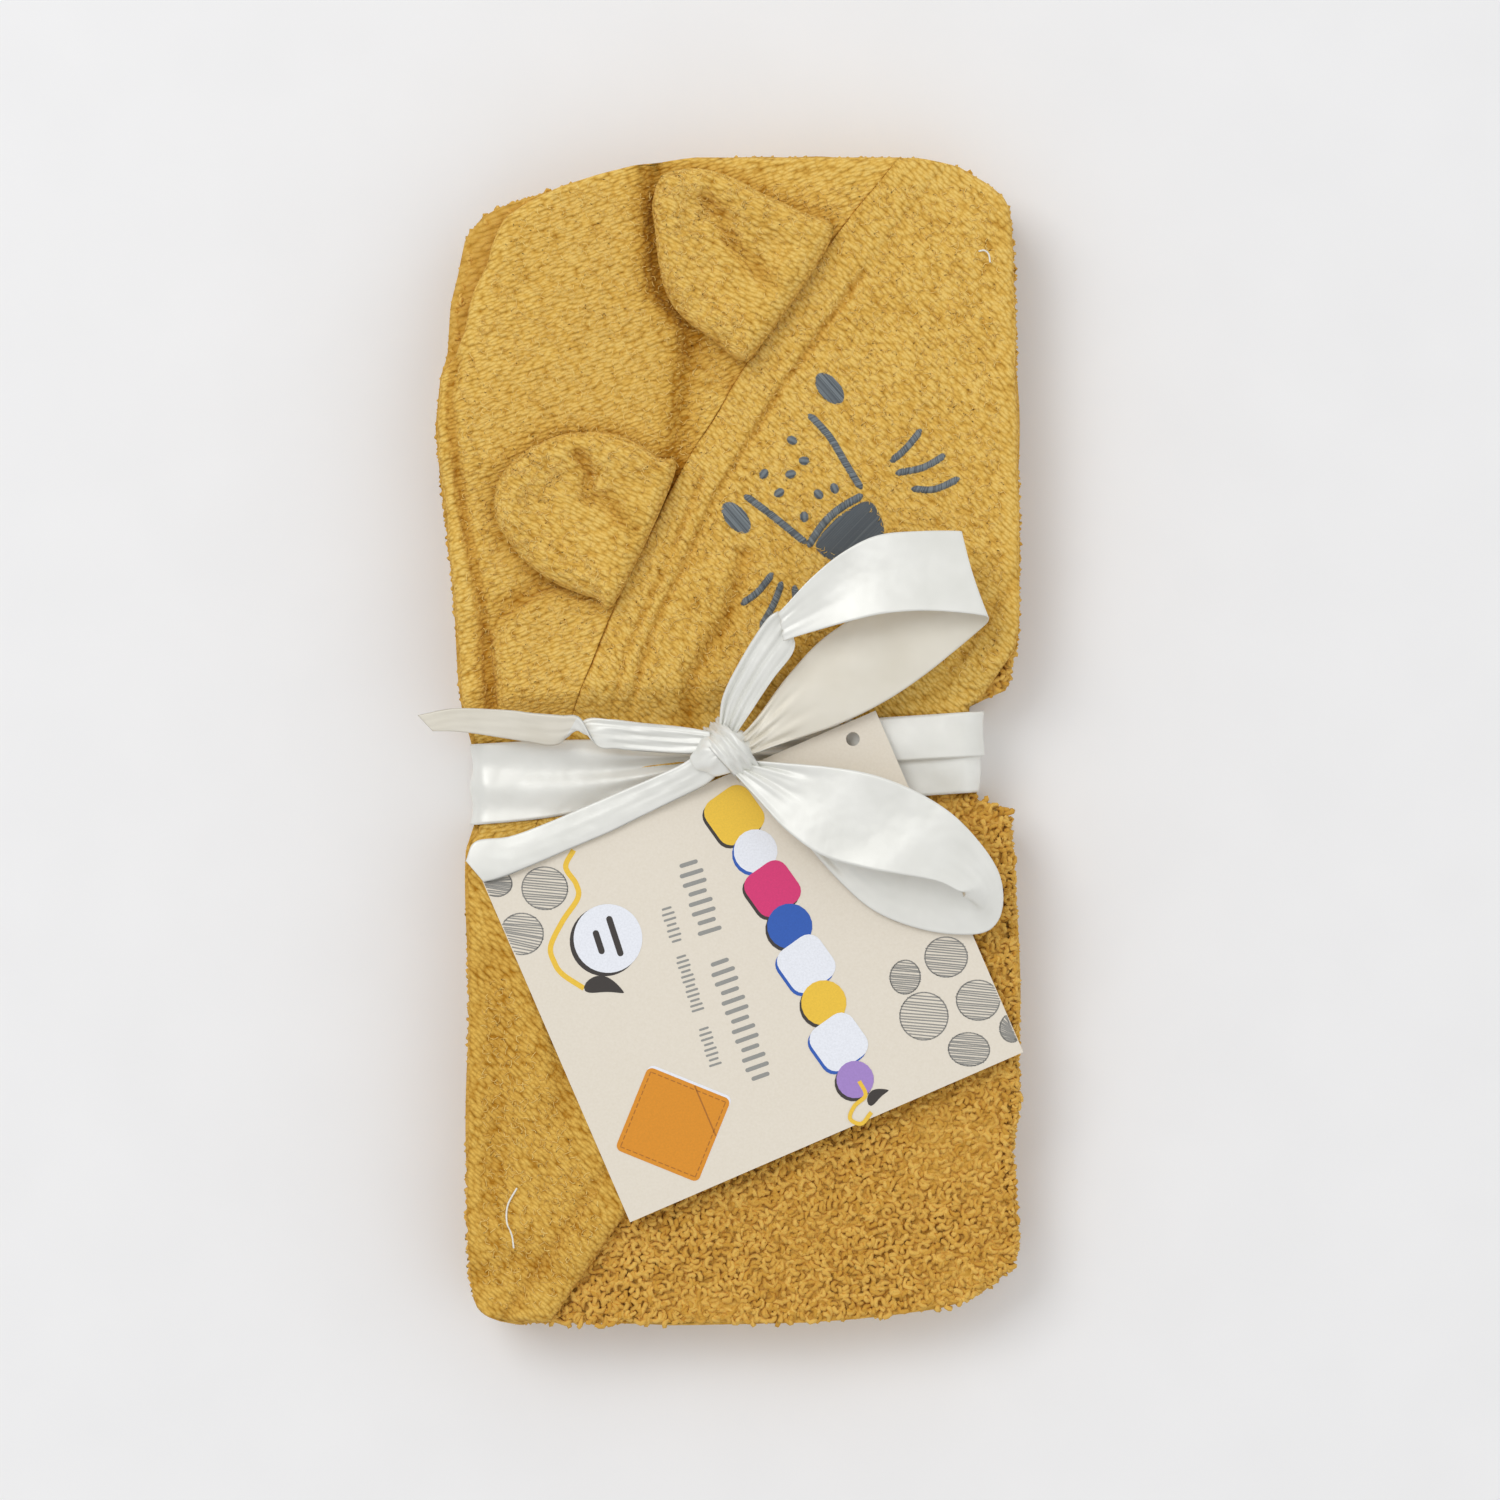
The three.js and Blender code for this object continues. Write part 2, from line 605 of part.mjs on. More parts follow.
// The card, punched near the middle of its top edge.
function tagCard() {
  const turn = THREE.MathUtils.degToRad(TAG_TURN);
  const [w, l] = [TAG_WIDTH / 2, TAG_LENGTH / 2];
  const shape = new THREE.Shape();
  shape.moveTo(-w, -l).lineTo(w, -l).lineTo(w, l).lineTo(-w, l);
  const away = new THREE.Vector2(TAG_HOLE[0] - TAG_CENTRE[0], TAG_HOLE[1] - TAG_CENTRE[1]);
  away.rotateAround(new THREE.Vector2(), -turn);
  shape.holes.push(new THREE.Path().absarc(away.x, away.y, TAG_HOLE_RADIUS, 0, 2 * Math.PI));
  const geometry = new THREE.ExtrudeGeometry(shape, {
    depth: TAG_THICKNESS,
    bevelEnabled: false,
    curveSegments: 12,
  });
  const mesh = namedMesh("tag_card", geometry, materials.card);
  mesh.position.set(TAG_CENTRE[0], TAG_CENTRE[1], FACE_SURFACE);
  mesh.rotation.z = turn;
  return mesh;
}

function towel() {
  const group = new THREE.Group();
  group.add(towelBody(), crownPanel(), facePanel());
  for (const name of Object.keys(EAR_PLACES)) group.add(ear(name));
  group.add(embroidery(), bow(), tagCard());
  return group;
}

// The origin is the middle of the underside of the whole bundle.
function centredOnFloor(model) {
  const box = new THREE.Box3().setFromObject(model, true);
  model.position.x = -(box.min.x + box.max.x) / 2;
  model.position.y = -(box.min.y + box.max.y) / 2;
  model.position.z = -box.min.z;
  return new THREE.Group().add(model);
}

export default centredOnFloor(towel());
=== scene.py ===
"""Looks of the folded hooded baby towel: towelling, embroidery, satin bow and card tag.

Shapes are laid out in millimetres in the design's own plane (x across, y along, z up from the
floor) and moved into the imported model's frame, in metres, when each mesh is made.
"""

import math

import bmesh
import bpy
import numpy as np
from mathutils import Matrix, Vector

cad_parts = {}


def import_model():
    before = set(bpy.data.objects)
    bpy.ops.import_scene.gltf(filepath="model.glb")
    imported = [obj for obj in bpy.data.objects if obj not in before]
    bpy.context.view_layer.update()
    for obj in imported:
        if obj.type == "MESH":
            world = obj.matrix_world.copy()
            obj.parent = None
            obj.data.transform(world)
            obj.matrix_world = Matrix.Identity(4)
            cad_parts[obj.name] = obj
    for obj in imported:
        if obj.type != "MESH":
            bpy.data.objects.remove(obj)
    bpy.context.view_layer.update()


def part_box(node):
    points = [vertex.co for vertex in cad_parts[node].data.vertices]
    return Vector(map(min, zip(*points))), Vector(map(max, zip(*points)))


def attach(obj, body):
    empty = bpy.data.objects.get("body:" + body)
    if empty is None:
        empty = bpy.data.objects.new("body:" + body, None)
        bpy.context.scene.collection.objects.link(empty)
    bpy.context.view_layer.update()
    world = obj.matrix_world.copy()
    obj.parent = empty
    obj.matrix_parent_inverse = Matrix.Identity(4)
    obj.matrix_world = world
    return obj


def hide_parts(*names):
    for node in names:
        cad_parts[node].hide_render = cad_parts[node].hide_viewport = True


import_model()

MM = 0.001
WORLD_LIGHT = 0.9
KEY_LIGHT = 40.0
FILL_LIGHT = 6.0
KNOT = np.array([-6.4, -3.4])  # the knot's middle, in design millimetres


def design_shift():
    low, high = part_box("ribbon_knot")
    return np.array([(low.x + high.x) / 2, (low.y + high.y) / 2]) / MM - KNOT


SHIFT = design_shift()
BODY_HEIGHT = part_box("towel_body")[1].z / MM
HALF_LENGTH = (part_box("towel_body")[1].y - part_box("towel_body")[0].y) / MM / 2
PANEL_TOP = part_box("hood_face_panel")[1].z / MM
EAR_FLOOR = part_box("ear_left_back")[0].z / MM
TAG_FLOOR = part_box("tag_card")[0].z / MM

SHEET = 3.3  # thickness of one layer of towelling
LEAF = 7.0
LEAF_PITCH = 7.5
LEAVES = 4
HALF_WIDTH = 89.0
BAND_Y = -8.7
BAND_SLOPE = 0.065
BAND_REACH = 13.0
RIBBON_WIDTH = 26.0
WAIST_MARGIN = 3.0
WAIST_SHOULDER = 14.0
WAIST_DROP = 4.0
WAIST_LIFT = 1.3
WAIST_LEFT = 3.4
WAIST_RIGHT = 12.0

TAG_TURN = math.radians(23.4)
TAG_CENTRE = np.array([3.5, -72.4])
TAG_SIZE = (137.0, 119.0)
TAG_HOLE = np.array([35.5, 0.3])
TAG_HOLE_RADIUS = 2.2

# ---------------------------------------------------------------- small maths


def lerp(a, b, t):
    return a + (b - a) * t


def smooth(t):
    t = np.clip(t, 0.0, 1.0)
    return t * t * (3 - 2 * t)


def ripple(x, y, wavelength, seed, waves=7):
    """Smooth random relief from -1 to 1 with about this wavelength."""
    rng = np.random.default_rng(seed)
    total = np.zeros(np.broadcast(x, y).shape)
    for _ in range(waves):
        turn = rng.uniform(0, 2 * math.pi)
        k = 2 * math.pi / (wavelength * rng.uniform(0.7, 1.5))
        total += np.sin(k * (x * math.cos(turn) + y * math.sin(turn)) + rng.uniform(0, 7))
    return total / math.sqrt(waves) / 1.6


def spline(points, count, closed=False):
    """Catmull-Rom line through the points, evenly spaced along its parameter."""
    p = np.asarray(points, float)
    n = len(p)
    if closed:
        p = np.vstack([p[-1], p, p[0], p[1]])
        spans = n
    else:
        p = np.vstack([2 * p[0] - p[1], p, 2 * p[-1] - p[-2]])
        spans = n - 1
    t = np.linspace(0, spans, count, endpoint=not closed)
    i = np.minimum(t.astype(int), spans - 1)
    f = (t - i)[:, None]
    a, b, c, d = p[i], p[i + 1], p[i + 2], p[i + 3]
    return 0.5 * (
        2 * b + (c - a) * f + (2 * a - 5 * b + 4 * c - d) * f**2 + (3 * b - a - 3 * c + d) * f**3
    )


def line_distance(x, y, points):
    """Distance from each (x, y) to a polyline."""
    best = np.full(np.broadcast(x, y).shape, 1e9)
    for (ax, ay), (bx, by) in zip(points[:-1], points[1:]):
        dx, dy = bx - ax, by - ay
        t = np.clip(((x - ax) * dx + (y - ay) * dy) / (dx * dx + dy * dy), 0, 1)
        best = np.minimum(best, np.hypot(x - ax - t * dx, y - ay - t * dy))
    return best


def furrow(x, y, points, width, depth):
    return -depth * np.exp(-((line_distance(x, y, points) / width) ** 2))


# ---------------------------------------------------------------- bundle form

# Height along the bundle, left side and right side.
SIDES = np.array([
    (187.5, -2, 52), (186, -18, 60), (184, -30, 70), (178, -58, 80), (174, -71, 84.5),
    (170, -82, 86.4), (162, -88.5, 87), (150, -90.6, 87.8), (140, -93, 88), (124, -94.2, 88.2),
    (117, -96.6, 88.3), (101, -98.4, 88.6), (83, -97, 89), (61, -94.4, 89.4), (37, -92, 89.2),
    (19, -91, 86.5), (10, -90, 85.5), (-20, -89.5, 86.5), (-35, -88.6, 87.4), (-83, -88, 89.3),
    (-118, -88.3, 89.3), (-132, -88.6, 87.2), (-146, -88.8, 88.2), (-163, -88.4, 89.4),
    (-170, -87.8, 87), (-176, -87, 80), (-181, -85.8, 72), (-184, -83, 50), (-186, -79, 30),
    (-187.5, -72, -30),
])


def side(y, column):
    return np.interp(-np.asarray(y, float), -SIDES[:, 0], SIDES[:, column])


def pinch(x, y, margin=WAIST_MARGIN, shoulder=WAIST_SHOULDER):
    away = np.abs(y - BAND_Y - BAND_SLOPE * x) - BAND_REACH - margin
    return 1 - smooth(away / shoulder)


def left_side(y):
    x = side(y, 1)
    return x + WAIST_LEFT * pinch(x, y, 0.5, 7.0)


def right_side(y):
    x = side(y, 2)
    return x - WAIST_RIGHT * pinch(x, y, 0.5, 7.0)


def body_top(x, y):
    return BODY_HEIGHT - WAIST_DROP * pinch(x, y)


def seam_x(y):
    share = np.asarray(y, float) / HALF_LENGTH
    bow = np.where(share > 0, share * (1 - share), share)
    return -57 + 0.5775 * y - 48 * bow


def seam_line(y):
    """The seam as sewn: its straight course with a slight waver."""
    return seam_x(y) + 0.45 * ripple(0 * y, y, 16, 35) * smooth((184 - np.abs(y)) / 10)


def opening_x(y):
    return 87.4 + 0.69 * (y - 28.8)


# ---------------------------------------------------------------- meshes


def make_mesh(name, points, quads, material, smooth_faces=True, tint=None):
    """A mesh from points in design millimetres and quads (a triangle repeats its last corner)."""
    points = np.asarray(points, float).reshape(-1, 3).copy()
    points[:, :2] += SHIFT
    quads = np.asarray(quads, np.int32)
    mesh = bpy.data.meshes.new(name)
    mesh.vertices.add(len(points))
    mesh.vertices.foreach_set("co", (points * MM).astype(np.float32).ravel())
    mesh.loops.add(4 * len(quads))
    mesh.loops.foreach_set("vertex_index", quads.ravel())
    mesh.polygons.add(len(quads))
    mesh.polygons.foreach_set("loop_start", np.arange(0, 4 * len(quads), 4, dtype=np.int32))
    mesh.update(calc_edges=True)
    mesh.polygons.foreach_set("use_smooth", np.full(len(quads), smooth_faces))
    if tint is not None:
        layer = mesh.attributes.new("tint", "FLOAT", "POINT")
        layer.data.foreach_set("value", np.asarray(tint, np.float32).ravel())
    mesh.materials.append(material)
    obj = bpy.data.objects.new(name, mesh)
    bpy.context.scene.collection.objects.link(obj)
    return obj


def grid_quads(rows, columns, offset=0, wrap_rows=False, wrap_columns=False, flip=False):
    i = np.arange(rows if wrap_rows else rows - 1)[:, None]
    j = np.arange(columns if wrap_columns else columns - 1)[None, :]
    i2, j2 = (i + 1) % rows, (j + 1) % columns
    corners = [i * columns + j, i2 * columns + j, i2 * columns + j2, i * columns + j2]
    quads = np.stack([np.broadcast_to(c, (i.size, j.size)) for c in corners], -1).reshape(-1, 4)
    return (quads[:, ::-1] if flip else quads) + offset


def shell_quads(rows, columns):
    """Faces of a closed sheet: an upper grid, a lower grid and the rim that joins them."""
    count = rows * columns
    upper = grid_quads(rows, columns)
    lower = grid_quads(rows, columns, offset=count, flip=True)
    index = np.arange(count).reshape(rows, columns)
    rim = np.concatenate([index[0], index[1:, -1], index[-1, -2::-1], index[-2:0:-1, 0]])
    after = np.roll(rim, -1)
    sides = np.stack([rim, after, after + count, rim + count], -1)
    return np.vstack([upper, lower, sides])


def shell(name, upper, lower, material, tint=None):
    rows, columns = upper.shape[:2]
    points = np.vstack([upper.reshape(-1, 3), lower.reshape(-1, 3)])
    quads = shell_quads(rows, columns)
    if signed_volume(points, quads) < 0:
        quads = quads[:, ::-1]
    both = None if tint is None else np.concatenate([tint.ravel(), tint.ravel()])
    return make_mesh(name, points, quads, material, tint=both)


def signed_volume(points, quads):
    a, b, c, d = (points[quads[:, k]] for k in range(4))
    return float((a * np.cross(b, c)).sum() + (a * np.cross(c, d)).sum())


def grid_normals(p):
    along = np.gradient(p, axis=0)
    across = np.gradient(p, axis=1)
    n = np.cross(along, across)
    return n / np.maximum(np.linalg.norm(n, axis=2, keepdims=True), 1e-9)


def tubes(paths, radius, sides):
    """Points and quads of many thin open-ended threads; paths has shape (threads, points, 3)."""
    count, steps = paths.shape[:2]
    along = np.gradient(paths, axis=1)
    along /= np.maximum(np.linalg.norm(along, axis=2, keepdims=True), 1e-9)
    up = np.array([0.31, 0.17, 0.93])
    first = np.cross(along, up)
    first /= np.maximum(np.linalg.norm(first, axis=2, keepdims=True), 1e-6)
    second = np.cross(along, first)
    angles = 2 * np.pi * np.arange(sides) / sides
    ring = (
        first[:, :, None, :] * np.cos(angles)[None, None, :, None]
        + second[:, :, None, :] * np.sin(angles)[None, None, :, None]
    )
    radius = np.broadcast_to(radius, (count, steps))[:, :, None, None]
    points = (paths[:, :, None, :] + ring * radius).reshape(-1, 3)
    one = grid_quads(steps, sides, wrap_columns=True, flip=True)
    quads = (one[None] + (np.arange(count) * steps * sides)[:, None, None]).reshape(-1, 4)
    return points, quads


# ---------------------------------------------------------------- materials


def linear(r, g, b):
    """Linear colour from display values of 0 to 255."""
    values = np.array([r, g, b]) / 255
    return tuple(np.where(values < 0.04045, values / 12.92, ((values + 0.055) / 1.055) ** 2.4)) + (1,)


class Nodes:
    """A material and short ways to add and join its nodes."""

    def __init__(self, name, **shader):
        self.material = bpy.data.materials.new(name)
        self.material.use_nodes = True
        self.tree = self.material.node_tree
        self.shader = self.tree.nodes["Principled BSDF"]
        for key, value in shader.items():
            self.shader.inputs[key.replace("_", " ")].default_value = value

    def add(self, kind, inputs=None, **settings):
        node = self.tree.nodes.new(kind)
        for key, value in settings.items():
            setattr(node, key, value)
        for key, value in (inputs or {}).items():
            if isinstance(value, bpy.types.NodeSocket):
                self.tree.links.new(value, node.inputs[key])
            else:
                node.inputs[key].default_value = value
        return node

    def math(self, operation, a, b=0.5, clamp=False):
        node = self.add("ShaderNodeMath", {0: a, 1: b}, operation=operation, use_clamp=clamp)
        return node.outputs[0]

    def ramp(self, value, stops):
        node = self.add("ShaderNodeValToRGB", {"Fac": value})
        ramp = node.color_ramp
        while len(ramp.elements) < len(stops):
            ramp.elements.new(0.5)
        for element, (place, colour) in zip(ramp.elements, stops):
            element.position = place
            element.color = colour
        return node.outputs["Color"]

    def coordinates(self, scale, turn=0.0, stretch=(1, 1, 1)):
        """Object coordinates in units of scale millimetres, turned about Z and stretched."""
        place = self.add("ShaderNodeTexCoord").outputs["Object"]
        size = [1 / (scale * MM * s) for s in stretch]
        turned = self.add("ShaderNodeMapping", {"Vector": place, "Rotation": (0, 0, turn)})
        return self.add(
            "ShaderNodeMapping", {"Vector": turned.outputs[0], "Scale": size}
        ).outputs[0]

    def noise(self, vector, scale=1.0, detail=2.0):
        inputs = {"Vector": vector, "Scale": scale, "Detail": detail}
        return self.add("ShaderNodeTexNoise", inputs).outputs["Fac"]

    def bump(self, height, distance, strength=1.0, after=None):
        inputs = {"Height": height, "Distance": distance * MM, "Strength": strength}
        if after is not None:
            inputs["Normal"] = after
        return self.add("ShaderNodeBump", inputs).outputs["Normal"]

    def colour(self, value):
        self.tree.links.new(value, self.shader.inputs["Base Color"])

    def normal(self, value):
        self.tree.links.new(value, self.shader.inputs["Normal"])


def pile_material(name, deep, mid, light, tuft, turn, depth):
    """Cotton pile in slanted rows of short tufts, darker between them, with painted shade in the creases and
    hollows that the tint attribute carries.
    """
    n = Nodes(name, Roughness=0.95, Sheen_Weight=0.15, Sheen_Roughness=0.5)
    n.shader.inputs["Sheen Tint"].default_value = linear(250, 226, 170)
    n.shader.inputs["Specular IOR Level"].default_value = 0.1
    warp = n.noise(n.coordinates(tuft * 4.0), detail=2.0)
    bend = n.add("ShaderNodeVectorMath", {0: warp, 1: (0.9, 0.9, 0)}, operation="MULTIPLY").outputs[0]
    rows = n.coordinates(tuft, turn, stretch=(1.9, 0.8, 1.3))
    bent = n.add("ShaderNodeVectorMath", {0: rows, 1: bend}, operation="ADD").outputs[0]
    inputs = {"Vector": bent, "Scale": 1.0, "Randomness": 0.8}
    cells = n.add("ShaderNodeTexVoronoi", inputs, feature="F1").outputs["Distance"]
    fibre = n.noise(n.coordinates(0.5), detail=3.0)
    patch = n.noise(n.coordinates(8.0), detail=3.0)
    # crease: painted shade from the tint attribute, darker in creases, hollows, along panel edges, round the
    # ears and low on the face panel
    crease = n.add("ShaderNodeAttribute", attribute_name="tint").outputs["Fac"]
    shade = n.math("MULTIPLY", n.math("POWER", cells, 2.0), 0.75)
    shade = n.math("ADD", shade, n.math("MULTIPLY", patch, 0.16))
    shade = n.math("ADD", shade, n.math("MULTIPLY", fibre, 0.3))
    shade = n.math("ADD", shade, n.math("MULTIPLY", crease, 0.5))
    n.colour(n.ramp(shade, [(0.22, light), (0.46, mid), (1.0, deep)]))
    height = n.math("SUBTRACT", n.math("MULTIPLY", fibre, 0.35), n.math("POWER", cells, 1.6))
    n.normal(n.bump(height, depth))
    return n.material


def tinted_material(name, dark, light, roughness=0.95, sheen=0.2):
    """Loose cotton yarn whose shade changes from loop to loop."""
    n = Nodes(name, Roughness=roughness, Sheen_Weight=sheen)
    n.shader.inputs["Specular IOR Level"].default_value = 0.1
    tint = n.add("ShaderNodeAttribute", attribute_name="tint").outputs["Fac"]
    fibre = n.noise(n.coordinates(0.4), detail=2.0)
    n.colour(n.ramp(n.math("ADD", tint, n.math("MULTIPLY", fibre, 0.3)), [(0.1, dark), (1.1, light)]))
    n.normal(n.bump(fibre, 0.2))
    return n.material


def thread_material():
    n = Nodes("embroidery_thread", Roughness=0.45, Sheen_Weight=0.3, Anisotropic=0.4)
    tint = n.add("ShaderNodeAttribute", attribute_name="tint").outputs["Fac"]
    fibre = n.noise(n.coordinates(0.3), detail=2.0)
    mix = n.math("ADD", n.math("MULTIPLY", tint, 0.7), n.math("MULTIPLY", fibre, 0.3))
    n.colour(n.ramp(mix, [(0.2, linear(78, 86, 92)), (0.8, linear(128, 137, 141))]))
    n.normal(n.bump(fibre, 0.08))
    return n.material


def satin_material(name, dark, light, roughness, gloss):
    n = Nodes(name, Roughness=roughness, Metallic=gloss, Anisotropic=0.4)
    n.shader.inputs["Specular IOR Level"].default_value = 0.6
    weave = n.add(
        "ShaderNodeTexWave",
        {"Vector": n.coordinates(1.0, 0.6), "Scale": 1.6, "Distortion": 1.0},
        wave_type="BANDS",
    ).outputs["Fac"]
    cloud = n.noise(n.coordinates(13.0), detail=2.0)
    n.colour(n.ramp(cloud, [(0.3, dark), (0.75, light)]))
    n.normal(n.bump(weave, 0.02, 0.5, after=n.bump(cloud, 1.6, 0.5)))
    return n.material


def card_material():
    n = Nodes("cream_card", Roughness=0.62)
    grain = n.noise(n.coordinates(0.8), detail=4.0)
    n.colour(n.ramp(grain, [(0.2, linear(226, 217, 200)), (0.8, linear(233, 225, 210))]))
    n.normal(n.bump(grain, 0.03, 0.4))
    return n.material


def ink_material(name, colour):
    n = Nodes(name, Roughness=0.5)
    grain = n.noise(n.coordinates(0.6), detail=3.0)
    darker = tuple(0.9 * c for c in colour[:3]) + (1,)
    n.colour(n.ramp(grain, [(0.3, darker), (0.7, colour)]))
    n.normal(n.bump(grain, 0.02, 0.3))
    return n.material


def floor_material():
    n = Nodes("pale_floor", Roughness=0.7)
    grain = n.noise(n.coordinates(40.0), detail=2.0)
    n.colour(n.ramp(grain, [(0.3, linear(240, 240, 240)), (0.7, linear(242, 242, 242))]))
    return n.material


VELOUR_SHADES = (linear(178, 122, 30), linear(229, 184, 87), linear(243, 206, 116))
CROWN_VELOUR = pile_material("velour_crown", *VELOUR_SHADES, 1.35, -0.35, 0.8)
FACE_VELOUR = pile_material("velour_face", *VELOUR_SHADES, 1.35, 0.75, 0.8)
EAR_VELOUR = pile_material("velour_ears", *VELOUR_SHADES, 1.4, 0.5, 0.9)
TERRY_BASE = pile_material(
    "terry_ground", linear(176, 124, 36), linear(212, 164, 72), linear(226, 182, 92), 2.0, -0.3, 0.8
)
TERRY_YARN = tinted_material("terry_yarn", linear(208, 156, 62), linear(236, 192, 98), sheen=0.05)
FIBRE = tinted_material("velour_fibre", linear(214, 164, 66), linear(250, 216, 130), sheen=0.05)
THREAD = thread_material()
COTTON = tinted_material("white_cotton", linear(225, 222, 210), linear(240, 238, 228))
SATIN = satin_material("satin_face", linear(228, 228, 221), linear(238, 238, 232), 0.36, 0.18)
SATIN_BACK = satin_material("satin_back", linear(226, 220, 204), linear(233, 228, 214), 0.45, 0.1)
CARD = card_material()


def add_piece(piece, body, *nodes, slot):
    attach(piece, body)
    if nodes:
        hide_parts(*nodes)
    return piece


# ---------------------------------------------------------------- towel body


def leaf_path():
    """Middle line of the folded leaves in the section, with the arc length at each point."""
    half, turn = LEAF / 2, LEAF_PITCH / 2
    left, right = -HALF_WIDTH + turn + half, HALF_WIDTH - turn - half
    points = [(-HALF_WIDTH, half)]
    for fold in range(LEAVES - 1):
        z = half + (fold + 0.5) * LEAF_PITCH
        to_right = fold % 2 == 0
        centre = right if to_right else left
        for angle in np.linspace(-0.5, 0.5, 9) * math.pi:
            x = centre + turn * math.cos(angle) * (1 if to_right else -1)
            points.append((x, z + turn * math.sin(angle)))
    points.append((-HALF_WIDTH, half + (LEAVES - 1) * LEAF_PITCH))
    points = np.array(points)
    length = np.concatenate([[0], np.cumsum(np.hypot(*np.diff(points, axis=0).T))])
    return points, length


def stretches(*spans):
    """Joined evenly spaced values: each span is (from, to, step)."""
    parts = [np.linspace(a, b, max(2, int(abs(b - a) / s) + 1))[:-1] for a, b, s in spans]
    return np.concatenate([*parts, [spans[-1][1]]])


def body_surface(across, along, offset):
    """The folded sheet: across and along are its flat coordinates, offset is out of the cloth."""
    path, length = leaf_path()
    s, t = np.meshgrid(across, along, indexing="ij")
    total = length[-1]
    at = s * total
    x = np.interp(at, length, path[:, 0])
    z = np.interp(at, length, path[:, 1])
    ahead = np.minimum(at + 0.4, total)
    back = np.maximum(at - 0.4, 0)
    dx = np.interp(ahead, length, path[:, 0]) - np.interp(back, length, path[:, 0])
    dz = np.interp(ahead, length, path[:, 1]) - np.interp(back, length, path[:, 1])
    size = np.maximum(np.hypot(dx, dz), 1e-9)
    nx, nz = dz / size, -dx / size
    apart = LEAF / 4
    fold = math.pi * apart / 2 / (2 * HALF_LENGTH)
    first = np.clip(t / (0.5 - fold), 0, 1)
    second = np.clip((t - 0.5 - fold) / (0.5 - fold), 0, 1)
    turn = np.clip((t - 0.5 + fold) / (2 * fold), 0, 1) * math.pi
    reach = apart + offset
    run = 2 * HALF_LENGTH - LEAF / 2
    y = np.where(t < 0.5, HALF_LENGTH - run * first, -HALF_LENGTH + LEAF / 2 + run * second)
    y = y - reach * np.sin(turn)
    w = reach * np.cos(turn)
    x, z = x + nx * w, z + nz * w
    u = (x + HALF_WIDTH) / (2 * HALF_WIDTH)
    v = z / BODY_HEIGHT
    leaf = np.floor(np.clip(at / total, 0, 0.999) * LEAVES)
    edge_wave = 1.4 * ripple(y, 37 * leaf, 60, 4) * (1 - np.minimum(u, 1 - u) * 2) ** 4
    end_wave = 1.2 * ripple(x, 53 * leaf + 20 * (t > 0.5), 70, 5) * smooth((np.abs(y) - 165) / 20)
    left, right = left_side(y), right_side(y)
    wx = lerp(left, right, u) + edge_wave
    lift = WAIST_LIFT * pinch(wx, y)
    wz = lerp(lift, body_top(wx, y), v)
    inside = smooth(v * 4) * smooth(np.minimum(wx - left, right - wx) / 25)
    wz = wz - 0.7 * inside * (1 + ripple(wx, y, 45, 6))
    return np.stack([wx, y - end_wave * 0.6 - 0.4, wz], -1)


def towel_body():
    across = stretches((0, 0.73, 0.0075), (0.73, 1, 0.0028))
    along = stretches((0, 0.49, 0.0036), (0.49, 0.51, 0.002), (0.51, 1, 0.012))
    hem = lambda q: 0.5 * smooth((0.017 - np.minimum(q, 1 - q)) / 0.001)
    thick = SHEET / 2 + np.maximum(hem(across)[:, None], hem(along)[None, :])
    thick = thick * (1 - 0.55 * smooth((0.0035 - np.minimum(across, 1 - across)) / 0.0035))[:, None]
    upper = body_surface(across, along, thick - 0.15)
    lower = body_surface(across, along, -thick + 0.15)
    piece = shell("towel_sheet", upper, lower, TERRY_BASE, tint=0 * upper[..., 0])
    add_piece(piece, "bundle", "towel_body", slot="terry")
    return piece


# ---------------------------------------------------------------- hood panels


def rim_round(distance, radius):
    t = np.clip(distance / radius, 0, 1)
    return np.sqrt(np.maximum(1 - (1 - t) ** 2, 0))


CREASE_DARK = 3.4  # depth at which a crease has its darkest shade
CARD_MARGIN = 6.0  # how far round the card no fibre stands
VALLEY = [(187, -30), (178, -29.4), (144, -28), (131, -17), (109, -20), (86, -21.5), (70, -23)]
CROWN_FOLD = [(-50, 56), (-62, 51), (-74, 43), (-79.5, 38), (-81.9, 28.5), (-80.3, 9), (-80, -12)]
CROWN_HEM = [(-91, 122), (-93.4, 110), (-92, 94), (-89.3, 75), (-86, 58), (-83, 42), (-81.5, 28), (-80, 9)]
CROWN_EDGE = [
    (187.5, -10), (184, -34), (181, -46), (177, -58.6), (172, -68.8), (167.4, -75.5), (162.9, -78.4),
    (157.8, -80.6), (152, -81.9), (144.6, -85.4), (137.6, -87.7), (132, -88.6), (123.5, -91.5),
    (117.8, -95.2),
]
EARS_CREASE = [(-18, 128), (-9, 119), (0, 112)]
FACE_STITCH = [(38, 148), (12, 112), (-9.6, 76.2), (-18.2, 56), (-26.6, 40.3), (-31, 28), (-36, 8)]
FACE_STITCH_2 = [(-13, 84), (-22.5, 60), (-31, 42), (-37, 28), (-42, 8)]
FACE_FOLD = [(1.3, 58.6), (-3.5, 39.7), (-12, 26), (-15.7, 19.5), (-17.6, 4)]
LOW_CREASES = [
    [(-66, -45), (-60, -80), (-57, -120)], [(-80, -70), (-78, -110), (-80, -150)],
    [(-84, -172), (-70, -166), (-60, -170)],
]


def panel_base(x, y):
    return body_top(x, y) + 0.3


def beyond_line(x, y, points, width):
    """1 on the right of a line given as (y, x) pairs, 0 on its left, with a soft step between."""
    table = np.array(sorted(points))
    return smooth((x - np.interp(y, table[:, 0], table[:, 1])) / width + 0.5)


def along_shade(x, y, seed):
    return 0.55 + 0.45 * ripple(x, y, 24, seed)


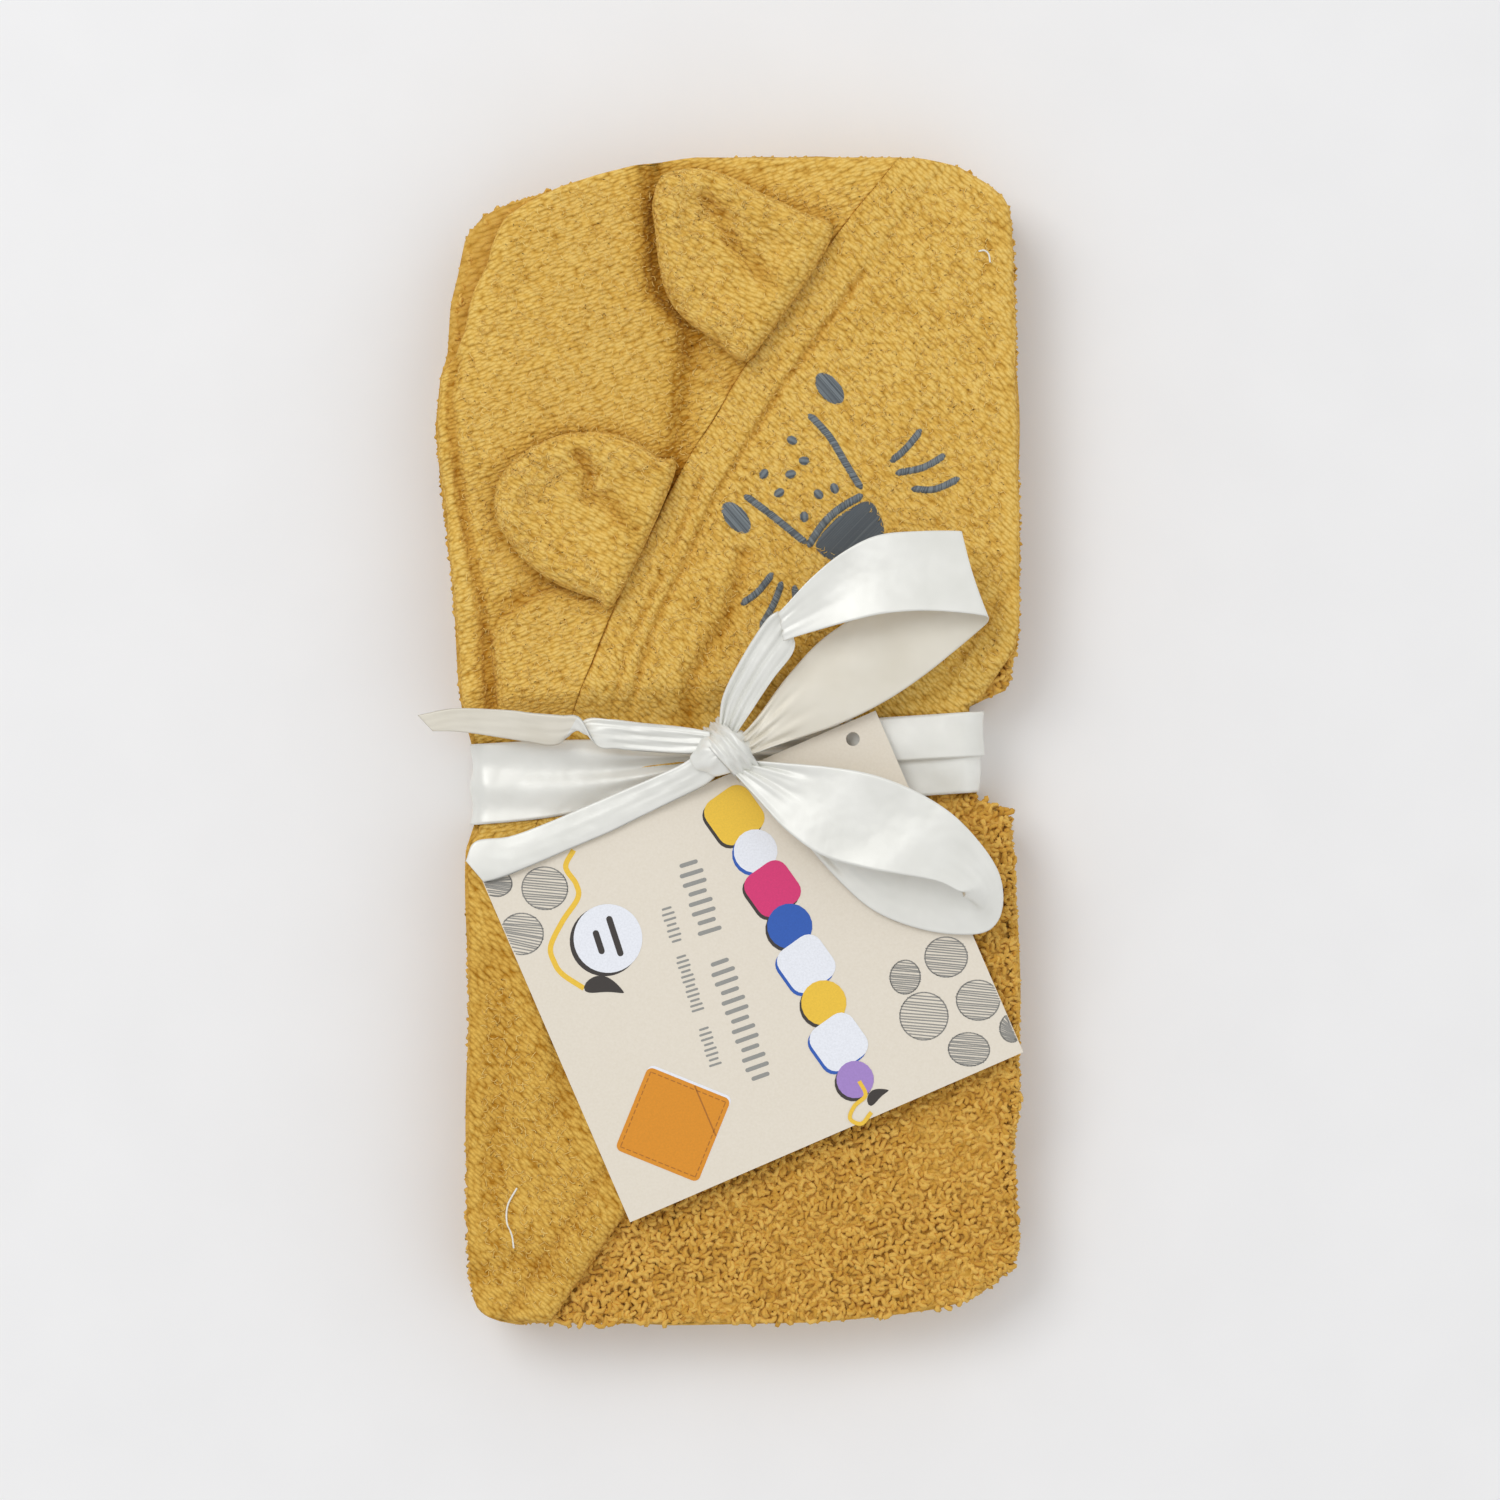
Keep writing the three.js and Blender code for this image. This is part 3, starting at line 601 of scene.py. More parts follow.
def crown_relief(x, y):
    """Puff and creases of the crown panel: height, and how deep in a crease each point is, as a painted shade
    from 0 to 1.
    """
    bulge = (1 - beyond_line(x, y, VALLEY, 7)) * smooth((y - 76) / 22)
    relief = 4.0 * bulge * (0.6 + 0.4 * smooth((x + 92) / 18))
    relief += 1.0 * ripple(x, y, 40, 11) + 0.45 * ripple(x, y, 15, 12)
    valley = furrow(x, y, [(b, a) for a, b in VALLEY], 5.0, 2.6)
    fold = furrow(x, y, CROWN_FOLD, 3.2, 2.6)
    hem = furrow(x, y, CROWN_HEM, 1.7, 2.4)
    crease = furrow(x, y, EARS_CREASE, 3.5, 2.4)
    line = np.array([(b, a) for a, b in CROWN_FOLD[1:]])[::-1]
    low = smooth((x - np.interp(y, line[:, 0], line[:, 1])) / 9) * smooth((54 - y) / 12)
    relief += 3.0 * low * smooth((y + 5) / 20)
    # painted shade in the valley, folds, hem and ear crease, varied along them by along_shade
    deep = valley + 0.7 * (fold + crease) * along_shade(x, y, 61) + 0.8 * hem
    return relief + valley + fold + hem + crease, np.clip(-deep / CREASE_DARK, 0, 1)


def face_relief(x, y):
    relief = 0.9 * ripple(x, y, 48, 21) + 0.35 * ripple(x, y, 17, 22)
    stitch = furrow(x, y, FACE_STITCH, 1.1, 1.5) + furrow(x, y, FACE_STITCH_2, 1.1, 1.2)
    fold = furrow(x, y, FACE_FOLD, 3.0, 3.2)
    hem = furrow(x, y, [(opening_x(y0) - 15.7, y0) for y0 in (60.0, -190.0)], 1.8, 1.5)
    across_hem = np.clip((opening_x(y) - x) / 15.7, 0, 1)
    roll = 1.5 * np.sin(np.pi * across_hem) * smooth((-20 - y) / 20)
    low = sum(furrow(x, y, line, 4.5, 1.7) for line in LOW_CREASES)
    # painted shade in the stitch lines, hem, fold and low creases, varied along the fold by along_shade
    deep = 0.7 * stitch + 0.4 * hem + 0.9 * fold * along_shade(x, y, 62) + 0.55 * low
    strip = smooth((seam_x(y) + 17 - x) / 3) * smooth((y - 0) / 20)
    step = smooth((x - np.interp(y, [4, 19.5, 39.7, 58.6], [-17.6, -15.7, -3.5, 1.3])) / 7)
    step = (1 - step) * smooth((64 - y) / 12) * smooth((y + 2) / 12)
    # painted shade: the panel is painted darker towards its lower end
    painted_lower_shade = 0.3 * smooth((-30 - y) / 30)
    raised = relief + 0.9 * strip + 1.4 * step + roll + stitch + fold + hem + low
    return raised, np.clip(-deep / CREASE_DARK + painted_lower_shade, 0, 1)


def panel_height(x, y, thick, relief):
    squeeze = pinch(x, y)
    return panel_base(x, y) + thick - 1.7 * squeeze + relief * (1 - 0.75 * squeeze)


def crown_height(x, y):
    return panel_height(x, y, 5.4, crown_relief(x, y)[0])


def face_height(x, y):
    return panel_height(x, y, 5.2, face_relief(x, y)[0])


def hood_panel(name, heights, left_of, right_of, columns, relief_of, thick, rims, material):
    """A panel in rows from its left to its right edge; rims holds each side's (width, drop)."""
    y = np.asarray(heights, float)
    share = (1 - np.cos(np.pi * np.linspace(0, 1, columns))) / 2
    share = lerp(np.linspace(0, 1, columns), share, 0.3)
    left, right = left_of(y)[:, None], right_of(y)[:, None]
    x = lerp(left, right, share[None, :])
    yy = np.broadcast_to(y[:, None], x.shape)
    ends = np.minimum(y[0] - yy, yy - y[-1]) * 1.2
    base = panel_base(x, yy)
    relief, deep = relief_of(x, yy)
    fall = np.zeros_like(x)
    for distance, (width, drop) in zip((x - left, right - x, ends), (*rims, (4.0, 3.4))):
        fall = np.maximum(fall, drop * (1 - rim_round(distance, width)))
    inside = np.minimum(np.minimum(x - left, right - x), ends)
    top = pressed_by_card(x, yy, panel_height(x, yy, thick, relief)) - fall
    under = base + 0.15 + 0.8 * (1 - rim_round(inside, 1.2))
    # painted shade along the panel's edges and ends
    deep = np.clip(deep + 0.25 * (1 - smooth(inside / 1.4)), 0, 1)
    upper = np.stack([x, yy, np.maximum(top, under + 0.4)], -1)
    lower = np.stack([x, yy, under], -1)
    return shell(name, upper, lower, material, tint=deep)


def pressed_by_card(x, y, height):
    """Cloth under the card stays below it."""
    c, s = math.cos(-TAG_TURN), math.sin(-TAG_TURN)
    dx, dy = x - TAG_CENTRE[0], y - TAG_CENTRE[1]
    outside = np.maximum(np.abs(dx * c - dy * s) - TAG_SIZE[0] / 2, np.abs(dx * s + dy * c) - TAG_SIZE[1] / 2)
    limit = TAG_FLOOR + 0.1 + 2.5 * smooth((outside - 4) / 8)
    return np.minimum(height, limit)


def crown_tint(x, y):
    """Creases with their painted shade, and painted shade close round each ear."""
    relief, deep = crown_relief(x, y)
    for outline in (EAR_LEFT, EAR_RIGHT):
        edge = [tuple(p) for p in spline(outline, 60, closed=True)]
        # painted shade: a dark band on the crown along each ear's outline
        deep = deep + 0.45 * np.exp(-((line_distance(x, y, edge + edge[:1]) / 3.5) ** 2))
    return relief, np.clip(deep, 0, 1)


def crown_panel():
    y = stretches((HALF_LENGTH - 0.7, HALF_LENGTH - 8, 0.6), (HALF_LENGTH - 8, -38, 1.0))
    edge = np.array(CROWN_EDGE)[::-1]
    wobble = lambda y: 0.4 * ripple(y, 0 * y, 22, 31)
    left = lambda y: np.where(
        y > edge[0, 0], np.interp(y, edge[:, 0], edge[:, 1]), left_side(y) + 0.8
    ) + wobble(y)
    piece = hood_panel(
        "hood_crown", y, left,
        lambda y: seam_line(y) - 0.03, 130, crown_tint, 5.4, ((4.5, 3.6), (0.7, 0.15)), CROWN_VELOUR,
    )
    add_piece(piece, "bundle", "hood_crown_panel", slot="velour")


def face_left(y):
    below = left_side(y) + 0.9
    return np.where(y > -38.3, seam_line(y) + 0.03, below)


def face_right(y):
    rim = right_side(y) - 0.6 + 0.4 * ripple(y, 0 * y, 30, 33)
    return np.minimum(rim, opening_x(y))


def face_panel():
    y = np.sort(np.concatenate([
        stretches((186.6, 180, 0.7), (180, -178, 1.15), (-178, -186.5, 0.7)), [-38.31],
    ]))[::-1]
    piece = hood_panel(
        "hood_face", y, face_left, face_right, 147, face_relief, 5.2, ((1.5, 0.5), (4.0, 3.4)), FACE_VELOUR
    )
    add_piece(piece, "bundle", "hood_face_panel", slot="velour")


# ---------------------------------------------------------------- terry loops


def scattered(x0, x1, y0, y1, step, seed):
    rng = np.random.default_rng(seed)
    x, y = np.meshgrid(np.arange(x0, x1, step), np.arange(y0, y1, step))
    x = x + rng.uniform(-0.45, 0.45, x.shape) * step
    y = y + rng.uniform(-0.45, 0.45, y.shape) * step
    return x.ravel(), y.ravel(), rng


def loop_paths(base, normal, rng, height, reach, steps):
    """Arched yarn loops standing on the cloth."""
    count = len(base)
    lean = rng.normal(size=(count, 3))
    lean -= (lean * normal).sum(1, keepdims=True) * normal
    lean /= np.maximum(np.linalg.norm(lean, axis=1, keepdims=True), 1e-9)
    twist = np.cross(normal, lean)
    t = np.linspace(0, 1, steps)[None, :, None]
    tall = (height * rng.uniform(0.65, 1.25, count))[:, None, None]
    wide = (reach * rng.uniform(0.7, 1.3, count))[:, None, None]
    turn = rng.uniform(-0.8, 0.8, count)[:, None, None]
    arch = np.sin(np.pi * t)
    return (
        base[:, None, :]
        + normal[:, None, :] * (tall * arch - 0.5)
        + lean[:, None, :] * wide * ((t - 0.5) + 0.55 * arch)
        + twist[:, None, :] * wide * turn * np.sin(2 * np.pi * t) * 0.6
    )


def loose_fibres(name, body, x, y, z, rng):
    """Fine curled ends of pile that stand a little proud of the velour."""
    base = np.stack([x, y, z + 0.52], -1)
    paths = loop_paths(base, np.tile([0.0, 0.0, 1.0], (len(x), 1)), rng, 0.3, 1.7, 5)
    points, quads = tubes(paths, 0.14, 3)
    tint = np.repeat(rng.uniform(0.2, 1, len(x)), 5 * 3)
    piece = make_mesh(name, points, quads, FIBRE, tint=tint)
    return add_piece(piece, body, slot="velour")


def hood_fibres():
    x, y, rng = scattered(-94, 88, -180, 178, 2.1, 47)
    left, right = left_side(y) + 5, face_right(y) - 5
    on_crown = (y > -30) & (x < seam_line(y) - 1)
    edge = np.interp(y, *np.array(CROWN_EDGE)[::-1].T) + 5
    right_of_crown_edge = x > np.maximum(edge, left)
    right_of_seam = x > np.maximum(left, seam_line(y) + 1)
    inside = (x < right) & np.where(on_crown, right_of_crown_edge, right_of_seam)
    clear = inside & (rng.uniform(0, 1, len(x)) < 0.75) & (pinch(x, y) < 0.3)
    c, s = math.cos(-TAG_TURN), math.sin(-TAG_TURN)
    dx, dy = x - TAG_CENTRE[0], y - TAG_CENTRE[1]
    along_card = np.abs(dx * c - dy * s) < TAG_SIZE[0] / 2 + CARD_MARGIN
    across_card = np.abs(dx * s + dy * c) < TAG_SIZE[1] / 2 + CARD_MARGIN
    clear &= ~(along_card & across_card)
    on_crown &= clear
    on_face = clear & ~on_crown
    for part, height_of, here in (("crown", crown_height, on_crown), ("face", face_height, on_face)):
        flat = x[here], y[here]
        loose_fibres(f"velour_fibres_{part}", "bundle", *flat, height_of(*flat), rng)


def terry(name, base, normal, rng, height=1.6, reach=2.5, radius=0.85, steps=7):
    paths = loop_paths(base, normal, rng, height, reach, steps)
    points, quads = tubes(paths, radius, 4)
    tint = np.repeat(rng.uniform(0, 0.8, len(base)), steps * 4)
    piece = make_mesh(name, points, quads, TERRY_YARN, tint=tint)
    return add_piece(piece, "bundle", slot="terry")


def terry_top():
    x, y, rng = scattered(-96, 92, -186, 45, 1.95, 41)
    left, right = left_side(y), right_side(y)
    beyond = x > face_right(y) - 1.2
    keep = beyond & (x < right - 1.0) & (x > left + 1)
    x, y = x[keep], y[keep]
    z = body_top(x, y) - 0.9
    drop = smooth((x - right_side(y) + 4) / 4)
    normal = np.stack([0.8 * drop, 0 * x, np.ones_like(x)], -1)
    normal /= np.linalg.norm(normal, axis=1, keepdims=True)
    base = np.stack([x, y, z - 1.6 * drop], -1)
    return terry("terry_loops_top", base, normal, rng)


def rim_points(step, seed):
    """Points all round the bundle's side faces with their outward normals."""
    rng = np.random.default_rng(seed)
    y = np.arange(-184, 184, step)
    x = np.arange(-78, 70, step)
    right = np.stack([right_side(y), y], -1)
    left = np.stack([left_side(y), y], -1)[::-1]
    outline = np.vstack([right, left])
    tangent = np.gradient(outline, axis=0)
    out = np.stack([tangent[:, 1], -tangent[:, 0]], -1)
    out /= np.maximum(np.linalg.norm(out, axis=1, keepdims=True), 1e-9)
    top_y = np.interp(x, [-82, -58, -30, -2, 52, 70, 86], [170, 178, 184, 187.3, 187.3, 184, 170])
    low_y = np.interp(x, [-83, -72, -30, 30, 50, 72, 87], [-184, -187.3, -187.3, -186, -184, -181, -170])
    ends = np.vstack([np.stack([x, top_y], -1), np.stack([x, low_y], -1)])
    end_out = np.vstack([np.tile([0, 1], (len(x), 1)), np.tile([0, -1], (len(x), 1))])
    return np.vstack([outline, ends]), np.vstack([out, end_out]), rng


def terry_sides():
    places, out, rng = rim_points(1.95, 43)
    layers = 13
    count = len(places)
    z = (np.arange(layers) + 0.5)[None, :] / layers + rng.uniform(-0.03, 0.03, (count, layers))
    leaf = (z * LEAVES) % 1
    bulge = np.sqrt(np.maximum(1 - (2 * leaf - 1) ** 2, 0))
    x, y = places[:, :1], places[:, 1:]
    keep = (pinch(x, y) < 0.6) & (bulge > 0.25)
    squeeze = pinch(x, y)
    height = lerp(WAIST_LIFT * squeeze, body_top(x, y), z)
    depth = 3.2 * (1 - bulge) + 0.9
    base = np.stack([x - out[:, :1] * depth, y - out[:, 1:] * depth, height], -1)
    tilt = (2 * leaf - 1) * 0.8
    normal = np.stack([out[:, :1] + 0 * z, out[:, 1:] + 0 * z, tilt], -1)
    normal /= np.linalg.norm(normal, axis=2, keepdims=True)
    keep = np.broadcast_to(keep, z.shape)
    return terry("terry_loops_sides", base[keep], normal[keep], rng, 1.5, 1.9, 0.6, 5)


# ---------------------------------------------------------------- ears

EAR_RIGHT = [
    (28.8, 160.6), (18.6, 168.6), (5.8, 174.7), (-2, 179), (-11.5, 182), (-19, 182), (-25.6, 179.8),
    (-28.5, 171.5), (-27.6, 161.5), (-26.2, 150), (-23.5, 141), (-18, 134), (-9.3, 127.5),
    (-0.5, 121), (5.8, 125.4),
]
EAR_LEFT = [
    (-21.4, 84.8), (-26.6, 90.2), (-35.2, 95.7), (-44.5, 98.2), (-56.6, 97.6), (-66.2, 93.8),
    (-73, 89), (-77.8, 82.2), (-79, 75.5), (-77.8, 68.8), (-73, 61.4), (-67.5, 55.4), (-58.2, 49.3),
    (-47, 45.2), (-40, 44.5),
]


EAR_FOLDS = {
    "ear_right": [(-12, 172), (-6.5, 167), (-5.4, 161.9), (-1, 156), (5.1, 150.4), (10, 145)],
    "ear_left": [(-51.5, 90.9), (-48.6, 84.8), (-49.6, 77.4), (-44.5, 76.2), (-39.4, 72), (-34, 67)],
}


def ear(name, outline, body):
    """Two puffy layers that meet in a turned seam, creased where the ear folds at its base."""
    edge = spline(outline, 220, closed=True)
    middle = edge.mean(0)
    rings = 1 - (1 - np.linspace(0, 1, 46)) ** 1.5
    flat = middle + (edge - middle)[None, :, :] * rings[:, None, None]
    x, y = flat[..., 0], flat[..., 1]
    loop = [tuple(p) for p in edge[::3]]
    from_edge = line_distance(x, y, loop + loop[:1])
    from_edge[-1] = 0
    puff = rim_round(from_edge, 6.0)
    hollow = 2.6 * smooth((from_edge - 6) / 9)
    fold = EAR_FOLDS[name]
    dent = furrow(x, y, fold, 2.3, 4.4) * smooth(from_edge / 5) * (0.75 + 0.25 * ripple(x, y, 11, 3))
    wrinkle = (0.7 * ripple(x, y, 13, len(name)) + 0.35 * ripple(x, y, 6, 5)) * puff
    centre = EAR_FLOOR + 4.3
    seam = centre + 0.12
    upper = centre + 6.4 * puff - hollow + dent + wrinkle
    # painted shade in the ear's fold and along its rim
    deep = np.clip(-dent / 6.5 + 0.3 * (1 - smooth(from_edge / 1.8)), 0, 1)
    top = np.stack([x, y, np.maximum(upper, seam + 0.5)], -1)
    low = np.stack([x, y, np.full_like(x, seam)], -1)
    front = disc(f"{name}_front_layer", top, low, EAR_VELOUR, deep)
    shrink = middle + (flat - middle) * 0.985
    under = centre - 3.9 * puff
    back_top = np.stack([shrink[..., 0], shrink[..., 1], np.full_like(x, seam - 0.24)], -1)
    back_low = np.stack([shrink[..., 0], shrink[..., 1], np.minimum(under, seam - 0.7)], -1)
    # the back layer gets the same painted shade, weaker
    back = disc(f"{name}_back_layer", back_top, back_low, EAR_VELOUR, 0.6 * deep)
    for piece, node in ((front, "front"), (back, "back")):
        add_piece(piece, body, f"{name}_{node}", slot="velour")
    rng = np.random.default_rng(59)
    ring = (np.sqrt(rng.uniform(0.01, 0.8, 500)) * 45).astype(int)
    spoke = rng.integers(0, top.shape[1], 500)
    loose_fibres(f"{name}_velour_fibres", body, *top[ring, spoke].T, rng)


def disc(name, upper, lower, material, tint):
    """A closed pad from two stacks of rings that run from the middle out to the rim."""
    rings, count = upper.shape[:2]
    points = np.vstack([upper.reshape(-1, 3), lower.reshape(-1, 3)])
    top = grid_quads(rings, count, wrap_columns=True)
    low = grid_quads(rings, count, offset=rings * count, wrap_columns=True, flip=True)
    rim = (rings - 1) * count + np.arange(count)
    after = np.roll(rim, -1)
    sides = np.stack([rim, after, after + rings * count, rim + rings * count], -1)
    quads = np.vstack([top, low, sides])
    if signed_volume(points, quads) < 0:
        quads = quads[:, ::-1]
    obj = make_mesh(name, points, quads, material, tint=np.concatenate([tint.ravel(), tint.ravel()]))
    weld(obj)
    return obj


def weld(obj, distance=0.00002):
    work = bmesh.new()
    work.from_mesh(obj.data)
    bmesh.ops.remove_doubles(work, verts=work.verts, dist=distance)
    work.to_mesh(obj.data)
    work.free()


# ---------------------------------------------------------------- embroidery

FACE_CENTRE = np.array([13.1, 91.8])
FACE_TURN = math.radians(54.1)


def on_face(points):
    """Face coordinates (towards the right eye, towards the nose) to the bundle's plane."""
    p = np.asarray(points, float)
    c, s = math.cos(FACE_TURN), math.sin(FACE_TURN)
    return FACE_CENTRE + np.stack([p[..., 0] * c + p[..., 1] * s, p[..., 0] * s - p[..., 1] * c], -1)


def stitch_piece(name, node, starts, ends, lift=0.9, radius=0.2, shades=(0, 1)):
    """Satin stitch: threads laid side by side from starts to ends, arched over their padding."""
    rng = np.random.default_rng(len(name) + 7 * ord(name[-1]))
    starts, ends = np.asarray(starts, float), np.asarray(ends, float)
    jitter = rng.normal(0, 0.05, (len(starts), 1))
    direction = ends - starts
    length = np.maximum(np.linalg.norm(direction, axis=1, keepdims=True), 1e-6)
    starts = starts - direction / length * jitter
    t = np.linspace(0, 1, 6)[None, :, None]
    flat = starts[:, None, :] + (ends - starts)[:, None, :] * t
    arch = np.sqrt(np.maximum(np.sin(np.pi * t[..., 0]), 0)) * np.minimum(lift, 0.25 + 0.3 * length)
    z = face_height(flat[..., 0], flat[..., 1]) - 0.25 + arch
    paths = np.concatenate([flat, z[..., None]], -1)
    points, quads = tubes(paths, radius, 5)
    tint = np.repeat(rng.uniform(*shades, len(starts)), 6 * 5)
    piece = make_mesh(name, points, quads, THREAD, tint=tint)
    return add_piece(piece, "bundle", node, slot="thread")


def stroke_stitch(node, points, width, pitch=0.3, slant=0.35):
    line = spline(on_face(points), 200)
    step = np.hypot(*np.diff(line, axis=0).T)
    length = np.concatenate([[0], np.cumsum(step)])
    at = np.arange(0.1, length[-1], pitch)
    centre = np.stack([np.interp(at, length, line[:, k]) for k in (0, 1)], -1)
    along = np.gradient(centre, axis=0)
    along /= np.linalg.norm(along, axis=1, keepdims=True)
    across = np.stack([-along[:, 1], along[:, 0]], -1)
    taper = smooth(np.minimum(at, length[-1] - at) / 2.2 + 0.35)[:, None]
    half = width / 2 * taper
    start = centre - across * half - along * half * slant
    end = centre + across * half + along * half * slant
    stitch_piece(f"{node}_stitching", node, start, end)


def area_stitch(node, outline, direction, pitch=0.3, shades=(0, 1)):
    """Fills a closed outline with threads that run along direction (radians, on the face)."""
    edge = spline(on_face(outline), 240, closed=True)
    turn = direction + FACE_TURN
    c, s = math.cos(-turn), math.sin(-turn)
    flat = np.stack([edge[:, 0] * c - edge[:, 1] * s, edge[:, 0] * s + edge[:, 1] * c], -1)
    starts, ends = [], []
    for level in np.arange(flat[:, 1].min() + 0.15, flat[:, 1].max() - 0.1, pitch):
        a, b = flat, np.roll(flat, -1, axis=0)
        cuts = (a[:, 1] - level) * (b[:, 1] - level) < 0
        t = (level - a[cuts, 1]) / (b[cuts, 1] - a[cuts, 1])
        hits = np.sort(a[cuts, 0] + t * (b[cuts, 0] - a[cuts, 0]))
        if len(hits) >= 2 and hits[-1] - hits[0] > 0.3:
            starts.append((hits[0], level))
            ends.append((hits[-1], level))
    c, s = math.cos(turn), math.sin(turn)
    back = lambda q: np.stack(
        [np.array(q)[:, 0] * c - np.array(q)[:, 1] * s, np.array(q)[:, 0] * s + np.array(q)[:, 1] * c], -1
    )
    stitch_piece(f"{node}_stitching", node, back(starts), back(ends), shades=shades)


def ellipse(centre, length, width, turn):
    a = np.linspace(0, 2 * math.pi, 24, endpoint=False)
    x, y = length / 2 * np.cos(a), width / 2 * np.sin(a)
    c, s = math.cos(turn), math.sin(turn)
    return [(centre[0] + u * c - v * s, centre[1] + u * s + v * c) for u, v in zip(x, y)]


def embroidery():
    eye_turn = math.radians(90 + 13)
    area_stitch("eye_right", ellipse((25.5, 0), 12.6, 6.8, eye_turn), -eye_turn)
    area_stitch("eye_left", ellipse((-25.5, 0), 12.8, 6.6, eye_turn), -eye_turn)
    stroke_stitch("muzzle_line_right", [(15, -0.5), (13, 9), (9, 18.5), (5.5, 27)], 2.3)
    stroke_stitch("muzzle_line_left", [(-18, -2), (-18.2, 8.5), (-18.6, 16.5), (-19, 23)], 2.3)
    whiskers = {
        "whisker_right_1": [(18, 29.5), (24, 31), (32, 31.5)],
        "whisker_right_2": [(16, 33), (22.5, 39), (30, 42.5)],
        "whisker_right_3": [(15, 40), (19, 46), (26.5, 50.5)],
        "whisker_left_1": [(-33, 20), (-41, 19.5), (-47, 17.5)],
        "whisker_left_2": [(-33.5, 24), (-41, 26), (-49.5, 27)],
        "whisker_left_3": [(-32, 28), (-38, 32.5), (-45, 35.5)],
    }
    for node, points in whiskers.items():
        stroke_stitch(node, points, 2.2)
    freckles = [(-9, -1), (-11, 6.5), (-4, 6), (2, 7), (5, 0), (-4, 17), (0.5, 20), (-12.5, 17.5)]
    for i, place in enumerate(freckles):
        turn = 0.35 * i
        area_stitch(f"freckle_{i + 1}", ellipse(place, 3.6, 2.6, turn), -turn, 0.28)
    stroke_stitch("nose_outline", [(-19.5, 24), (-10, 23.8), (-3, 25.4), (4, 28.6)], 2.5)
    pad = [(-18.5, 26), (-10, 25.6), (-3.5, 27.2), (3.6, 30.6), (3.8, 35), (-2, 41.5), (-12, 40), (-19, 33)]
    area_stitch("nose_pad", pad, math.radians(-8), shades=(-0.3, 0.4))


STRAY_THREADS = [
    [(-72, -143.4), (-74.9, -148.8), (-75.2, -154.2), (-73.6, -158.4), (-73, -162.6)],
    [(75.8, 156.4), (77.6, 156.6), (79, 155.4), (79.4, 152.8)],
]


def stray_threads():
    """Loose white ends of sewing cotton caught in the pile."""
    paths = []
    for points in STRAY_THREADS:
        flat = spline(points, 24)
        z = face_height(flat[:, 0], flat[:, 1]) + 0.25 + 0.3 * np.sin(np.linspace(0, 7, 24))
        paths.append(np.concatenate([flat, z[:, None]], -1))
    points, quads = tubes(np.array(paths), 0.3, 6)
    piece = make_mesh("stray_cotton_threads", points, quads, COTTON, tint=np.ones(len(points)))
    add_piece(piece, "bundle", slot="thread")


# ---------------------------------------------------------------- ribbon


def two_sided(piece, faces, glossy_first):
    """Gives the duller side of the satin to one block of faces and the glossy side to the other."""
    start = faces if glossy_first else 0
    dull_faces(piece, [(start, start + faces)])


def dull_faces(piece, spans):
    piece.data.materials.append(SATIN_BACK)
    index = np.zeros(len(piece.data.polygons), np.int32)
    for start, end in spans:
        index[start:end] = 1
    piece.data.polygons.foreach_set("material_index", index)


PLEAT_REACH = 38.0  # how far the pleats run from the knot
HALF_SATIN = 0.15  # half the ribbon's thickness


def ribbon(name, body, node, stations, length, bulge=0.6, gather=1.0, doubled=False, dull_from=None,
           along=170, across=33):
    """A satin strip lofted through stations, each ((x, y, z) of one edge, (x, y, z) of the other).

    The ribbon is cut to one width. Where it is drawn in narrower, the spare width stands up as pleats,
    and a doubled strip is folded lengthwise.
    """
    first = spline([s[0] for s in stations], along)
    second = spline([s[1] for s in stations], along)
    v = np.linspace(0, 1, across)
    place = 1 - np.abs(2 * v - 1) if doubled else v
    middle = first[:, None, :] * (1 - place)[None, :, None] + second[:, None, :] * place[None, :, None]
    straight = first[:, None, :] * (1 - v)[None, :, None] + second[:, None, :] * v[None, :, None]
    normal = grid_normals(straight)
    t = np.linspace(0, 1, along)[:, None]
    width = np.linalg.norm(second - first, axis=1)[:, None]
    knot_side = np.exp(-((t * length / PLEAT_REACH) ** 2)) + 0.12
    if not doubled:
        knot_side = knot_side + np.exp(-(((1 - t) * length / PLEAT_REACH) ** 2))
    spare = np.clip(1 - width / RIBBON_WIDTH / 0.95, 0, 1) * knot_side
    phase = 0.9 * np.sin(4 * t + len(name)) + 1.5 * t
    pleats = np.sin(2 * np.pi * (3.0 * place[None, :] + phase)) + 0.5 * np.sin(
        2 * np.pi * (5.3 * place[None, :] - phase)
    )
    relief = bulge * np.sin(np.pi * place)[None, :] * np.minimum(width / 20, 1)
    relief = relief + gather * spare * pleats * np.minimum(width / 9, 1)
    ripple_x, ripple_y = first[:, None, 0] + 12 * place[None, :], 60 * t + 0 * relief
    relief = relief + 0.35 * ripple(ripple_x, ripple_y, 30, len(name))
    if doubled:
        relief = relief - 1.1 * np.sin(np.pi * np.clip(2 * v - 1, 0, 1) / 2)[None, :]
    surface = middle + normal * relief[..., None]
    facing = normal * np.where(v < 0.5, 1, -1)[None, :, None] if doubled else grid_normals(surface)
    piece = shell(name, surface + facing * HALF_SATIN, surface - facing * HALF_SATIN, SATIN)
    if not doubled:
        ahead = first[1] - first[0]
        over = second[0] - first[0]
        glossy_first = ahead[0] * over[1] - ahead[1] * over[0] > 0
        two_sided(piece, (along - 1) * (across - 1), glossy_first)
    elif dull_from is not None:
        block, start = (along - 1) * (across - 1), int(dull_from * (along - 1)) * (across - 1)
        dull_faces(piece, [(start, block), (block + start, 2 * block)])
    add_piece(piece, body, *((node,) if node else ()), slot="satin")
    return piece


def strip(*rows):
    """Stations from rows of (x, y, z) of one edge and (x, y, z) of the other."""
    return [(row[:3], row[3:]) for row in rows]


